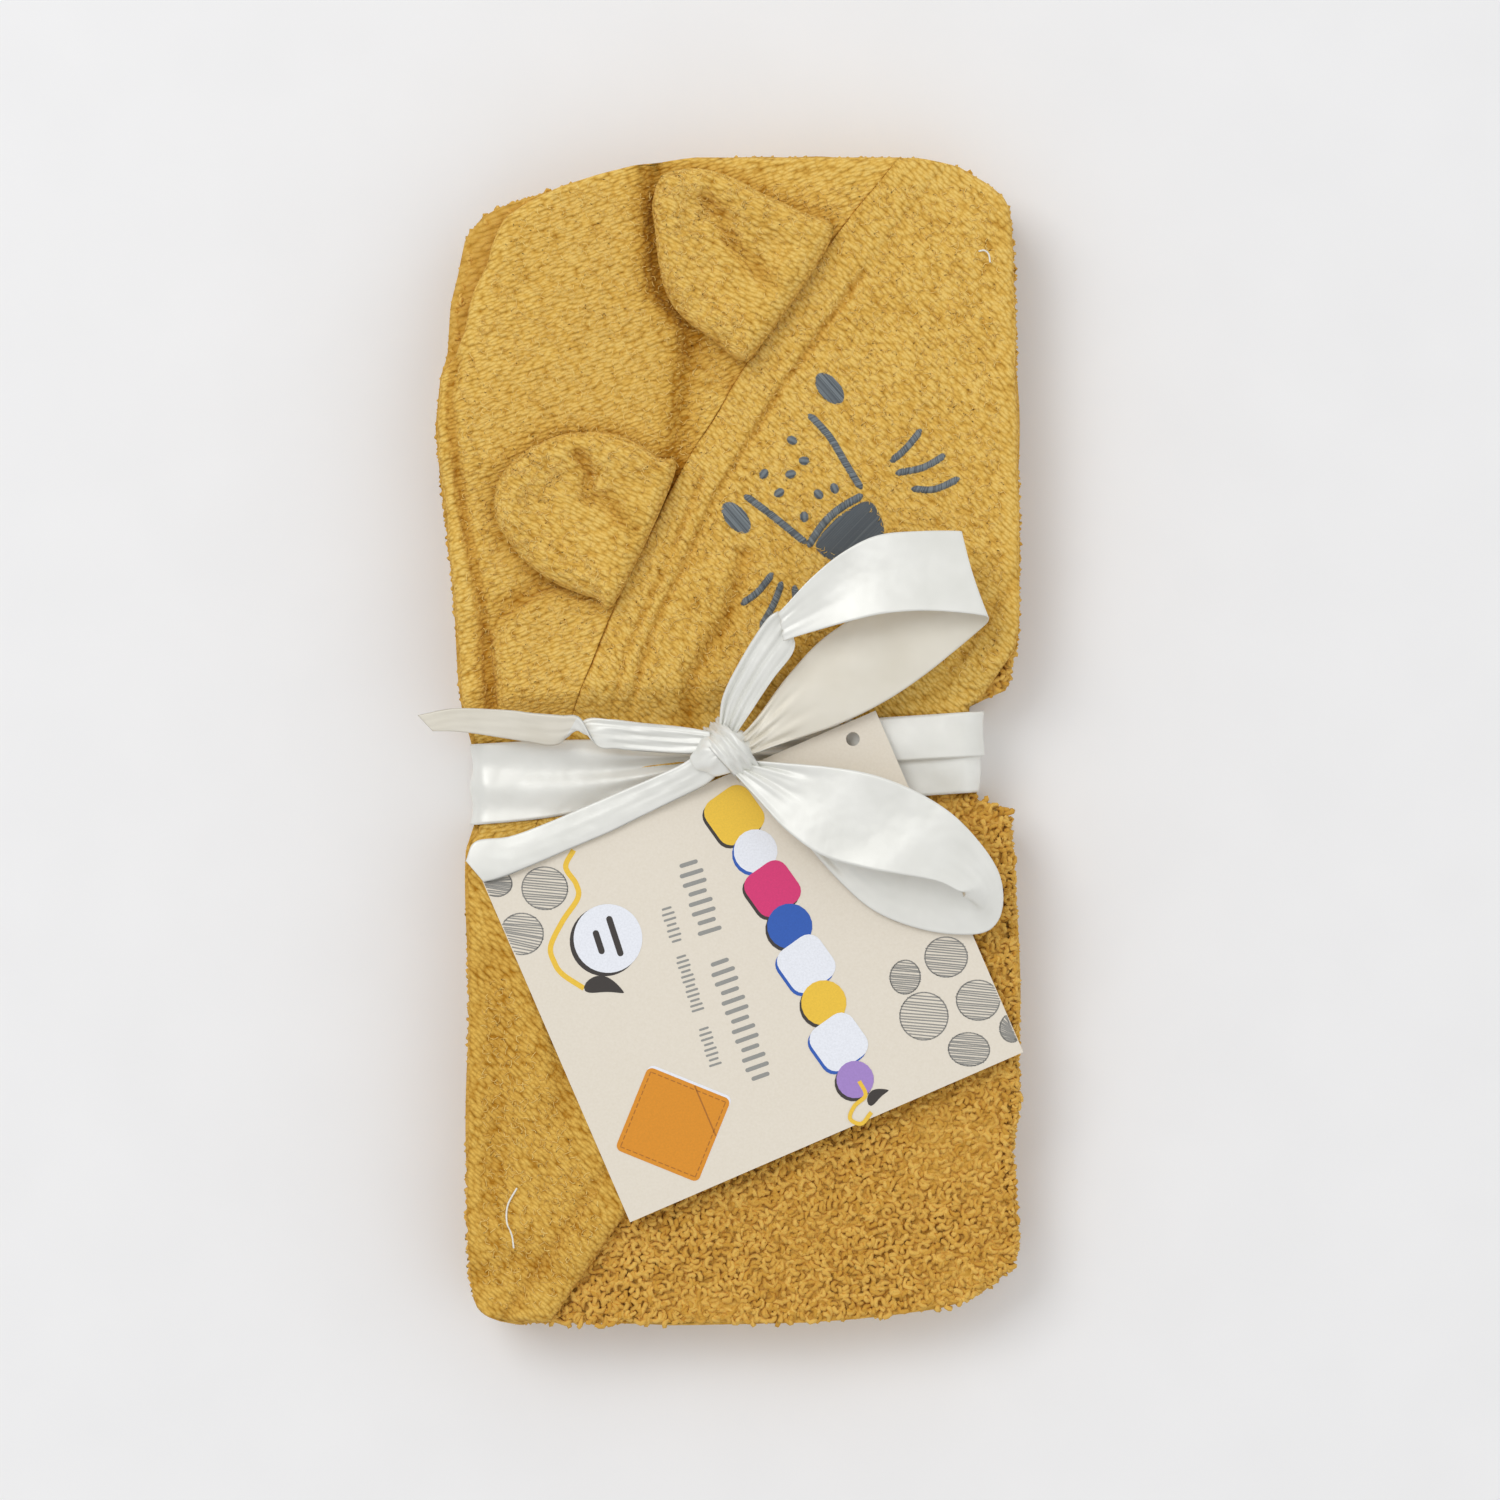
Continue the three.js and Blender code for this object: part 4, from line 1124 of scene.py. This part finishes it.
UPPER_LOOP = strip(
    (-7.2, 4.4, 43, -3.2, 0, 43),
    (-5.8, 14.5, 45.5, 2.8, 9, 45),
    (0.8, 27.4, 49, 9.8, 19.4, 48),
    (7.6, 37.8, 51.5, 15.8, 27, 50.5),
    (11.2, 40.6, 52.6, 16.6, 31.6, 51.5),
    (12.6, 41.2, 54.6, 13.4, 31.4, 53.6),
    (21.8, 51.0, 55.2, 23.8, 34.6, 55),
    (31.8, 59.2, 55.2, 33.8, 37.4, 56),
    (42.8, 64.6, 55, 45.8, 40, 56.6),
    (56.8, 66, 54.4, 59.8, 40.8, 56.6),
    (68.2, 66.2, 52.6, 75.6, 39.4, 55),
    (69.8, 65.6, 49.5, 78.0, 37.8, 51),
    (67.8, 61.4, 46.5, 74.8, 34.4, 47),
    (60.8, 54.4, 44.5, 67.8, 28.4, 44),
    (49.8, 47.4, 43.2, 57.8, 20.4, 42),
    (37.8, 40.4, 42.6, 45.8, 12.4, 41),
    (24.8, 31.4, 42.4, 31.8, 5.4, 40.4),
    (13.8, 19.4, 42.6, 18.8, 0.8, 40.6),
    (5.8, 8.4, 43, 8.2, -2.6, 41.6),
    (-0.2, 1.4, 43.5, 2.8, -4.6, 42.5),
)
LOWER_LOOP = strip(
    (1.8, -6.6, 43.5, -3.2, -9.6, 43),
    (13.8, -7.4, 46, 3.8, -17.2, 45),
    (27.8, -8.6, 48.6, 14.4, -28.8, 47.6),
    (40.8, -10.8, 50.4, 26, -36.8, 49.4),
    (53.8, -15.6, 51, 39.4, -40.6, 50.6),
    (65.8, -22.8, 51, 52, -42.8, 51),
    (74.8, -31.8, 50, 62.2, -44.8, 51),
    (81.2, -41.2, 48, 68.6, -47.8, 50),
    (83.2, -49.8, 45, 70.8, -48.4, 48.4),
    (81.8, -57.4, 42, 70.4, -49.8, 45.8),
    (76.6, -61.6, 39.8, 68.4, -45.2, 44.4),
    (65.8, -62, 38.5, 61.4, -40.0, 43.4),
    (53.8, -59.4, 38.2, 51.4, -36.8, 42.6),
    (41.8, -54.2, 38.2, 41.8, -32.8, 42.2),
    (31.0, -44.8, 38.4, 33.4, -27.4, 42),
    (17.8, -29.8, 39.4, 22.8, -19.6, 42.2),
    (6.8, -17.6, 41, 11.8, -13.4, 42.4),
    (-2.2, -10.6, 42.6, 1.8, -8, 43.2),
)
UPPER_TAIL = strip(
    (-10, 2.4, 43.5, -10, -4.2, 42.5),
    (-20, 3.9, 42.6, -18, -4.6, 40.6),
    (-32, 5.2, 41.8, -30, -3.8, 39.4),
    (-42, 6.6, 41.0, -39.5, -2.8, 40),
    (-50, 6.6, 38.8, -46, -1.8, 42.6),
    (-56, 1.0, 38, -51.5, 7.0, 43.4),
    (-61, -1.2, 38, -57.5, 7.8, 43.6),
    (-68, -0.2, 38, -67, 8.4, 43.4),
    (-76, 1.2, 38.2, -76, 9.4, 43),
    (-90, 3.2, 38.6, -91, 10.0, 42.4),
    (-98.6, 3.4, 39.4, -103.2, 7.8, 42),
)
LOWER_TAIL = strip(
    (-13, -3.5, 43, -6.5, -9.5, 42.5),
    (-19, -7.8, 41.6, -11, -14, 41),
    (-28, -12, 40.2, -19, -18, 39.6),
    (-37.2, -15.8, 39.2, -28.5, -22.6, 38.8),
    (-50, -21.2, 38.6, -41, -28.8, 38.3),
    (-62, -26.4, 38.2, -53.5, -34.2, 38),
    (-74.2, -30.8, 38, -66, -39.6, 37.9),
    (-85, -32.4, 37.9, -76.2, -43.8, 37.8),
    (-88.2, -38.6, 37.9, -82.4, -45.4, 37.8),
)
KNOT_WRAP = strip(
    (-6.6, 6.4, 38.5, -13.2, 2.6, 38.5),
    (-5.0, 4.6, 43.4, -12.2, 0.2, 43),
    (-2.0, 1.6, 47.6, -9.8, -3.2, 47.2),
    (1.8, -2.4, 48, -6.2, -7.4, 47.8),
    (4.6, -6.6, 44.6, -2.6, -11.2, 44.2),
    (5.4, -9.0, 39, -1.0, -13.0, 39),
)


def bow():
    ribbon("bow_loop_upper_ribbon", "bow_loop_upper", "ribbon_loop_upper", UPPER_LOOP, 204, 0.8)
    ribbon("bow_loop_lower_ribbon", "bow_loop_lower", "ribbon_loop_lower", LOWER_LOOP, 188, 0.8)
    ribbon("bow_tail_upper_ribbon", "bow_tail_upper", "ribbon_tail_upper", UPPER_TAIL, 92, 0.3, 0.7,
           doubled=True, dull_from=0.52)
    ribbon("bow_tail_lower_ribbon", "bow_tail_lower", "ribbon_tail_lower", LOWER_TAIL, 84.5, 0.5, 0.2,
           doubled=True)
    ribbon("bow_knot_wrap", "bundle", None, KNOT_WRAP, 29, 0.9, 1.2, doubled=True, along=60)


def band():
    """The ribbon round the waist: gathered towards the knot on the left, pleated on the right."""
    low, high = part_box("ribbon_band")
    left, right = low.x / MM - SHIFT[0], high.x / MM - SHIFT[0]
    bottom, top = low.z / MM, high.z / MM
    radius = 6.0
    corners = [
        (right - radius, top - radius, 0), (left + radius, top - radius, 90),
        (left + radius, bottom + radius, 180), (right - radius, bottom + radius, 270),
    ]
    path = []
    for cx, cz, start in corners:
        for angle in np.radians(np.linspace(start, start + 90, 8)):
            path.append((cx + radius * math.cos(angle), cz + radius * math.sin(angle)))
    path = np.array(path + path[:1])
    length = np.concatenate([[0], np.cumsum(np.hypot(*np.diff(path, axis=0).T))])
    at = np.linspace(0, length[-1], 320, endpoint=False)
    x = np.interp(at, length, path[:, 0])[:, None]
    z = np.interp(at, length, path[:, 1])[:, None]
    v = np.linspace(-1, 1, 27)[None, :]
    top_side = smooth((z - bottom - 16) / 8)
    gather = top_side * np.exp(-(((x - KNOT[0]) / 34) ** 2)) * (x < KNOT[0] + 40)
    reach = BAND_REACH * (1 - 0.62 * gather)
    y = BAND_Y + BAND_SLOPE * x + v * reach + gather * 3.5
    out_x = np.where(x > right - 3, 1.0, np.where(x < left + 3, -1.0, 0.0))
    left_half = smooth((-8 - x) / 25)
    fold = 0.9 * gather * np.sin(9.5 * v + 0.06 * x) + 0.5 * left_half * np.sin(6 * v + 0.05 * x) * top_side
    right_half = smooth((x - 20) / 25)
    pleat = 1.7 * right_half * smooth((v + 0.1) / 0.08) * top_side
    y = y - 1.6 * right_half * top_side * np.exp(-(((v - 0.06) / 0.12) ** 2))
    swell = 0.5 * right_half * top_side * np.cos(3.2 * v + 0.1 * x)
    lift = fold + pleat + swell
    nz = np.where(np.abs(out_x) > 0, 0.25, np.where(z > (top + bottom) / 2, 1.0, -0.25))
    surface = np.stack(np.broadcast_arrays(x + out_x * lift, y, z + nz * lift), -1)
    inner = surface.copy()
    centre = np.array([(left + right) / 2, 0, (top + bottom) / 2])
    inward = np.stack(np.broadcast_arrays(-np.sign(x - centre[0]) * (np.abs(out_x) > 0), 0 * y, -nz), -1)
    inner += inward * 0.35
    rows, columns = surface.shape[:2]
    count = rows * columns
    points = np.vstack([surface.reshape(-1, 3), inner.reshape(-1, 3)])
    outer_faces = grid_quads(rows, columns, wrap_rows=True)
    inner_faces = grid_quads(rows, columns, offset=count, wrap_rows=True, flip=True)
    ring = np.arange(rows) * columns
    edges = []
    for edge in (ring, ring + columns - 1):
        after = np.roll(edge, -1)
        edges.append(np.stack([edge, after, after + count, edge + count], -1))
    edges[0] = edges[0][:, ::-1]
    quads = np.vstack([outer_faces, inner_faces, *edges])
    if signed_volume(points, quads) < 0:
        quads = quads[:, ::-1]
    piece = make_mesh("waist_band_ribbon", points, quads, SATIN)
    add_piece(piece, "bundle", "ribbon_band", slot="satin")


def knot():
    """Ribbon drawn tight round itself: a lump with swirling folds and a wrapped waist."""
    u = np.linspace(0, math.pi, 60)[:, None]
    a = np.linspace(0, 2 * math.pi, 96, endpoint=False)[None, :]
    swirl = np.sin(5 * a + 3.2 * u) + 0.5 * np.sin(9 * a - 4 * u + 1)
    r = 1 + 0.055 * swirl * np.sin(u)
    wrap = 1 + 0.1 * np.exp(-(((u - 1.5 - 0.25 * np.sin(a)) / 0.28) ** 2))
    x = 9.0 * r * wrap * np.sin(u) * np.cos(a)
    y = 6.4 * r * wrap * np.sin(u) * np.sin(a)
    z = 4.6 * r * np.cos(u)
    turn = math.radians(20)
    c, s = math.cos(turn), math.sin(turn)
    x, y = x * c - y * s, x * s + y * c
    centre_z = 42.4
    points = np.stack([x + KNOT[0], y + KNOT[1] - 0.6, z + centre_z], -1)
    quads = grid_quads(60, 96, wrap_columns=True)
    if signed_volume(points.reshape(-1, 3), quads) < 0:
        quads = quads[:, ::-1]
    piece = make_mesh("bow_knot_ribbon", points, quads, SATIN)
    weld(piece)
    add_piece(piece, "bundle", "ribbon_knot", slot="satin")


# ---------------------------------------------------------------- card tag

def on_tag(points):
    """Card coordinates (along its top edge, up towards the bow) to the bundle's plane."""
    p = np.asarray(points, float)
    c, s = math.cos(TAG_TURN), math.sin(TAG_TURN)
    return TAG_CENTRE + np.stack([p[..., 0] * c - p[..., 1] * s, p[..., 0] * s + p[..., 1] * c], -1)


def tag_height(x, y):
    """The card bends very slightly over the bundle."""
    c, s = math.cos(-TAG_TURN), math.sin(-TAG_TURN)
    across = (x - TAG_CENTRE[0]) * c - (y - TAG_CENTRE[1]) * s
    return TAG_FLOOR + 1.5 - 0.5 * (across / 68) ** 2


def card_outline():
    """Card as rings from the punched hole out to its square edge."""
    w, l = TAG_SIZE[0] / 2, TAG_SIZE[1] / 2
    away = TAG_HOLE - TAG_CENTRE
    c, s = math.cos(-TAG_TURN), math.sin(-TAG_TURN)
    hole = np.array([away[0] * c - away[1] * s, away[0] * s + away[1] * c])
    a = np.linspace(0, 2 * math.pi, 240, endpoint=False)
    direction = np.stack([np.cos(a), np.sin(a)], -1)
    with np.errstate(divide="ignore"):
        reach_x = np.where(direction[:, 0] > 0, (w - hole[0]), (w + hole[0])) / np.abs(direction[:, 0])
        reach_y = np.where(direction[:, 1] > 0, (l - hole[1]), (l + hole[1])) / np.abs(direction[:, 1])
    edge = hole + direction * np.minimum(reach_x, reach_y)[:, None]
    for corner in ((w, l), (-w, l), (-w, -l), (w, -l)):
        nearest = np.argmin(np.hypot(*(edge - corner).T))
        edge[nearest] = corner
    start = hole + direction * TAG_HOLE_RADIUS
    t = np.linspace(0, 1, 24)[:, None, None] ** 1.5
    return start[None] + (edge - start)[None] * t


def tag():
    flat = on_tag(card_outline())
    z = tag_height(flat[..., 0], flat[..., 1])
    top = np.concatenate([flat, (z + 0.0)[..., None]], -1)
    low = np.concatenate([flat, (z - 0.55)[..., None]], -1)
    rings, count = flat.shape[:2]
    points = np.vstack([top.reshape(-1, 3), low.reshape(-1, 3)])
    upper = grid_quads(rings, count, wrap_columns=True)
    lower = grid_quads(rings, count, offset=rings * count, wrap_columns=True, flip=True)
    sides = []
    for ring, flip in ((0, True), (rings - 1, False)):
        edge = ring * count + np.arange(count)
        after = np.roll(edge, -1)
        quads = np.stack([edge, after, after + rings * count, edge + rings * count], -1)
        sides.append(quads[:, ::-1] if flip else quads)
    quads = np.vstack([upper, lower, *sides])
    if signed_volume(points, quads) < 0:
        quads = quads[:, ::-1]
    piece = make_mesh("card_tag", points, quads, CARD, smooth_faces=False)
    add_piece(piece, "tag", "tag_card", slot="card")


def print_shape(name, outlines, material, level=0.05):
    """Ink on the card: closed outlines in card coordinates, each filled from its middle."""
    points, quads, start = [], [], 0
    for outline in outlines:
        edge = on_tag(np.asarray(outline, float))
        middle = edge.mean(0)
        rings = np.linspace(0, 1, 6)[:, None, None]
        flat = middle + (edge - middle)[None] * rings
        z = tag_height(flat[..., 0], flat[..., 1]) + level
        count = len(edge)
        top = np.concatenate([flat, z[..., None]], -1).reshape(-1, 3)
        faces = grid_quads(6, count, wrap_columns=True)
        if signed_area(top, faces) < 0:
            faces = faces[:, ::-1]
        points.append(top)
        quads.append(faces + start)
        start += len(top)
    piece = make_mesh(name, np.vstack(points), np.vstack(quads), material, smooth_faces=False)
    return add_piece(piece, "tag", slot="card")


def print_line(name, points, width, material, level=0.05):
    """An ink line along a smooth path in card coordinates."""
    line = on_tag(spline(points, 20 * len(points)))
    along = np.gradient(line, axis=0)
    along /= np.linalg.norm(along, axis=1, keepdims=True)
    side_step = np.stack([-along[:, 1], along[:, 0]], -1) * width / 2
    flat = np.stack([line + side_step, line - side_step], 1)
    z = tag_height(flat[..., 0], flat[..., 1]) + level
    top = np.concatenate([flat, z[..., None]], -1).reshape(-1, 3)
    faces = grid_quads(len(line), 2)
    if signed_area(top, faces) < 0:
        faces = faces[:, ::-1]
    piece = make_mesh(name, top, faces, material, smooth_faces=False)
    return add_piece(piece, "tag", slot="card")


def signed_area(points, quads):
    a, b, c = (points[quads[:, k]] for k in range(3))
    return float(np.cross(b - a, c - a)[:, 2].sum())


QUARTER_TURN = 1.57


def half_round(centre, radius, first_angle, steps=7):
    angles = first_angle + np.linspace(0, 2 * QUARTER_TURN, steps)
    return [centre + radius * np.array([math.cos(a), math.sin(a)]) for a in angles]


def bar(start, end, width):
    """A straight ink line with round ends."""
    start, end = np.array(start, float), np.array(end, float)
    along = (end - start) / np.linalg.norm(end - start)
    angle = math.atan2(along[1], along[0])
    r = width / 2
    return half_round(end, r, angle - QUARTER_TURN) + half_round(start, r, angle + QUARTER_TURN)


def hatched(centre, rx, ry, turn, limit):
    """Pencil hatching inside an oval, kept on the card."""
    bars = []
    rng = np.random.default_rng(int(abs(centre[0] * 7 + centre[1] * 13)) + 3)
    turned = np.array([[math.cos(turn), math.sin(turn)], [-math.sin(turn), math.cos(turn)]])
    for offset in np.arange(-0.93, 0.94, 0.125):
        half = math.sqrt(max(1 - offset**2, 0.02)) * (1 + rng.uniform(-0.04, 0.04))
        ends = np.array([[-half * rx, offset * ry], [half * rx, offset * ry]])
        ends[:, 1] += rng.uniform(-0.2, 0.2, 2)
        start, end = np.clip(ends @ turned + centre, -np.array(limit), limit)
        if np.linalg.norm(end - start) > 1:
            bars.append(bar(start, end, 0.42))
    rim = np.array(circle((0, 0), 1.0, 36)) * (rx, ry) @ turned + centre
    for a, b in zip(rim, np.roll(rim, -1, axis=0)):
        if np.all(np.abs([a, b]) < limit):
            bars.append(bar(a, b, 0.4))
    return bars


def rounded_square(centre, size, radius, turn=0.0):
    points = []
    h = size / 2 - radius
    for k, (sx, sy) in enumerate(((1, 1), (-1, 1), (-1, -1), (1, -1))):
        for a in np.linspace(0, math.pi / 2, 6) + k * math.pi / 2:
            points.append((sx * h + radius * math.cos(a), sy * h + radius * math.sin(a)))
    c, s = math.cos(turn), math.sin(turn)
    return [(centre[0] + x * c - y * s, centre[1] + x * s + y * c) for x, y in points]


def circle(centre, radius, count=40):
    a = np.linspace(0, 2 * math.pi, count, endpoint=False)
    return [(centre[0] + radius * math.cos(t), centre[1] + radius * math.sin(t)) for t in a]


def to_card(x, y):
    """From the bundle's plane to card coordinates."""
    dx, dy = x - TAG_CENTRE[0], y - TAG_CENTRE[1]
    c, s = math.cos(-TAG_TURN), math.sin(-TAG_TURN)
    return np.array([dx * c - dy * s, dx * s + dy * c])


def leaf_shape(root, length, width, turn):
    """A plain curved leaf, round at its root and drawn out to a point."""
    t = np.linspace(0, 1, 26)
    bend = 0.3 * width * np.sin(np.pi * t)
    half = width / 2 * np.sin(np.pi * t**0.7) ** 0.7 * (1 - 0.25 * t)
    upper = np.stack([t * length, bend + half], -1)
    lower = np.stack([t * length, bend - half], -1)[::-1]
    c, s = math.cos(turn), math.sin(turn)
    flat = np.vstack([upper[:-1], lower[:-1]])
    return flat @ np.array([[c, s], [-s, c]]) + root


OVALS = [
    ((-78.5, -45.8), 5.0, 4.2), ((-63, -47.4), 7.3, 6.8), ((-70.4, -62), 6.9, 6.6),
    ((65.3, -69.4), 6.8, 6.4), ((52.2, -75.8), 4.8, 5.4), ((58.2, -88.3), 7.7, 7.6),
    ((75.5, -83.2), 6.9, 6.4), ((72.6, -98.9), 6.6, 5.3), ((86.5, -92), 4.0, 4.6),
]
WAVY_LINE = [
    (-53.8, -35.2), (-56.3, -40.6), (-53, -46), (-52.5, -50.6), (-57.3, -57.9), (-61.1, -65.9),
    (-60, -71), (-57.3, -74.9), (-50.5, -79.4),
]
CURL = [(37.5, -109), (39.5, -113.5), (36, -117), (34.6, -121), (38.2, -122.6), (41.4, -119)]
PEBBLES = [
    ((-2.4, -24), 16.5, "yellow"), ((4.4, -35.5), 14, "white"), ((9.8, -47.5), 15.5, "magenta"),
    ((15.3, -59.5), 14.5, "blue"), ((20.6, -71.5), 16, "white"), ((26.2, -84), 14.5, "yellow"),
    ((31, -96.5), 16, "white"), ((36.2, -108.5), 12, "lilac"),
]


def tag_prints():
    """Plain patterns and shapes in place of the printed words and marks."""
    inks = {
        "grey": (152, 152, 147), "pencil": (150, 148, 142), "yellow": (244, 200, 60),
        "orange": (226, 146, 22), "seam": (176, 108, 24), "white": (240, 243, 250),
        "dark": (58, 52, 48), "magenta": (222, 50, 118), "blue": (40, 92, 184), "lilac": (168, 136, 206),
    }
    ink = {name: ink_material(f"ink_{name}", linear(*shade)) for name, shade in inks.items()}
    limit = (TAG_SIZE[0] / 2 - 0.4, TAG_SIZE[1] / 2 - 0.4)
    bars = []
    for place, rx, ry in OVALS:
        bars += hatched(to_card(*place), rx, ry, math.radians(-5) - TAG_TURN, limit)
    print_shape("tag_pencil_ovals", bars, ink["pencil"], 0.05)
    print_line("tag_wavy_line", [to_card(*p) for p in WAVY_LINE], 1.7, ink["yellow"])
    leaves = [
        leaf_shape(to_card(-50.5, -79.0), 13, 6.0, math.radians(-8) - TAG_TURN),
        leaf_shape(to_card(40.4, -116.5), 8, 4.0, math.radians(35) - TAG_TURN),
    ]
    print_shape("tag_leaves", leaves, ink["dark"], 0.06)
    print_line("tag_curl", [to_card(*p) for p in CURL], 1.3, ink["yellow"], 0.19)
    badge = to_card(-42.9, -63.7)
    print_shape("tag_badge_shade", [circle(badge + (-1.1, -0.2), 11.2)], ink["dark"], 0.05)
    print_shape("tag_badge", [circle(badge + (0.2, 0.2), 11.0)], ink["white"], 0.09)
    ticks = [bar(badge + (-6, 2.5), badge + (5.5, 2.5), 2.0), bar(badge + (-3, -3), badge + (3, -3), 2.0)]
    print_shape("tag_badge_bars", [turned_about(t, badge, math.radians(-72) - TAG_TURN) for t in ticks],
                ink["dark"], 0.13)
    icon_print(ink)
    for i, (place, size, colour) in enumerate(PEBBLES):
        centre = to_card(*place)
        radius = size * (0.5 if i % 2 else 0.28)
        face = np.array(rounded_square(centre, size, radius, math.radians(12 * (-1) ** i)))
        edge = ink["blue" if colour == "white" else "dark"]
        level = 0.05 + 0.016 * i
        print_shape(f"tag_block_shade_{i + 1}", [face + (-0.9, -0.7)], edge, level)
        print_shape(f"tag_block_{i + 1}", [face], ink[colour], level + 0.008)
    words = [((-17.5, -38), (-9.8, -62.5), 6.6), ((-7.6, -69.5), (6.5, -109), 6.6)]
    words += [((-24.3, -53), (-20.6, -65), 3.5), ((-19.6, -68.5), (-13.8, -87), 3.5)]
    words += [((-12.4, -91.5), (-8.2, -104.5), 3.5)]
    lines = []
    for start, end, wide in words:
        lines += word_bars(to_card(*start), to_card(*end), wide)
    print_shape("tag_plain_bars", lines, ink["grey"], 0.05)


def turned_about(outline, centre, turn):
    c, s = math.cos(turn), math.sin(turn)
    return (np.array(outline) - centre) @ np.array([[c, s], [-s, c]]) + centre


def word_bars(start, end, height):
    """A run of short strokes, all alike, that stands in for a line of print."""
    along = end - start
    count = max(3, int(np.linalg.norm(along) / (0.46 * height)))
    unit = along / np.linalg.norm(along)
    across = np.array([-unit[1], unit[0]])
    strokes = []
    for k in range(count):
        middle = start + along * (k + 0.5) / count
        reach = across * height * (0.5 if k % 3 else 0.36)
        strokes.append(bar(middle - reach, middle + reach, 0.2 * height))
    return strokes


def icon_print(ink):
    """A plain towel with a hooded corner, set on its point."""
    icon = to_card(-22, -122.9)
    half = 14.3
    turn = math.radians(-22) - TAG_TURN
    square = rounded_square(icon, 2 * half, 2.0, turn)
    print_shape("tag_icon_shade", [square + np.array([0.7, 0.5])], ink["white"], 0.05)
    print_shape("tag_icon", [square], ink["orange"], 0.08)
    c, s = math.cos(turn), math.sin(turn)
    local = lambda x, y: icon + np.array([x * c - y * s, x * s + y * c])
    inset = half - 1.4
    corners = [(-inset, -inset), (inset, -inset), (inset, inset), (-inset, inset)]
    dashes = []
    for (ax, ay), (bx, by) in zip(corners, corners[1:] + corners[:1]):
        for k in np.arange(0, 1, 0.085):
            a = (lerp(ax, bx, k), lerp(ay, by, k))
            b = (lerp(ax, bx, k + 0.05), lerp(ay, by, k + 0.05))
            dashes.append(bar(local(*a), local(*b), 0.3))
    dashes.append(bar(local(inset - 11, inset + 1), local(inset + 1, inset - 11), 0.45))
    print_shape("tag_icon_seams", dashes, ink["seam"], 0.11)


# ---------------------------------------------------------------- stage


def stage():
    mesh = bpy.data.meshes.new("floor")
    size = 3.0
    corners = [(-size, -size, 0), (size, -size, 0), (size, size, 0), (-size, size, 0)]
    mesh.from_pydata(corners, [], [(0, 1, 2, 3)])
    mesh.materials.append(floor_material())
    floor = bpy.data.objects.new("floor", mesh)
    bpy.context.scene.collection.objects.link(floor)


def area_light(name, place, target, size, power):
    data = bpy.data.lights.new(name, "AREA")
    data.shape = "SQUARE"
    data.size = size
    data.energy = power
    light = bpy.data.objects.new(name, data)
    light.location = place
    light.rotation_euler = (Vector(target) - Vector(place)).to_track_quat("-Z", "Y").to_euler()
    bpy.context.scene.collection.objects.link(light)


def world():
    """Soft studio surround, brighter towards the window side."""
    made = bpy.data.worlds.new("studio")
    bpy.context.scene.world = made
    made.use_nodes = True
    tree = made.node_tree
    place = tree.nodes.new("ShaderNodeTexCoord").outputs["Generated"]
    turned = tree.nodes.new("ShaderNodeMapping")
    turned.inputs["Rotation"].default_value = (0, 0, math.radians(45))
    tree.links.new(place, turned.inputs["Vector"])
    split = tree.nodes.new("ShaderNodeSeparateXYZ")
    tree.links.new(turned.outputs[0], split.inputs[0])
    ramp = tree.nodes.new("ShaderNodeValToRGB")
    tree.links.new(split.outputs["Y"], ramp.inputs["Fac"])
    ramp.color_ramp.elements[0].color = (0.7, 0.7, 0.71, 1)
    ramp.color_ramp.elements[1].color = (1.0, 1.0, 1.0, 1)
    background = tree.nodes["Background"]
    tree.links.new(ramp.outputs["Color"], background.inputs["Color"])
    background.inputs["Strength"].default_value = WORLD_LIGHT


def lights():
    world()
    area_light("key", (-1.5, 1.4, 3.0), (0, 0, 0), 1.8, KEY_LIGHT)
    area_light("fill", (1.6, -0.9, 2.6), (0, 0, 0), 2.4, FILL_LIGHT)
    bpy.context.scene.view_settings.view_transform = "Standard"


def camera():
    """Straight down, over the middle of the view."""
    height, view = 1.6, 0.48
    middle = (np.array([2.6, -3.2]) + SHIFT) * MM
    data = bpy.data.cameras.new("camera")
    data.sensor_width = 36
    data.lens = 36 * (height - PANEL_TOP * MM) / view
    cam = bpy.data.objects.new("camera", data)
    cam.location = (middle[0], middle[1], height)
    bpy.context.scene.collection.objects.link(cam)
    bpy.context.scene.camera = cam


camera()
lights()
stage()
towel_body()
crown_panel()
face_panel()
terry_top()
terry_sides()
hood_fibres()
ear("ear_right", EAR_RIGHT, "ear_right")
ear("ear_left", EAR_LEFT, "ear_left")
embroidery()
stray_threads()
band()
knot()
bow()
tag()
tag_prints()
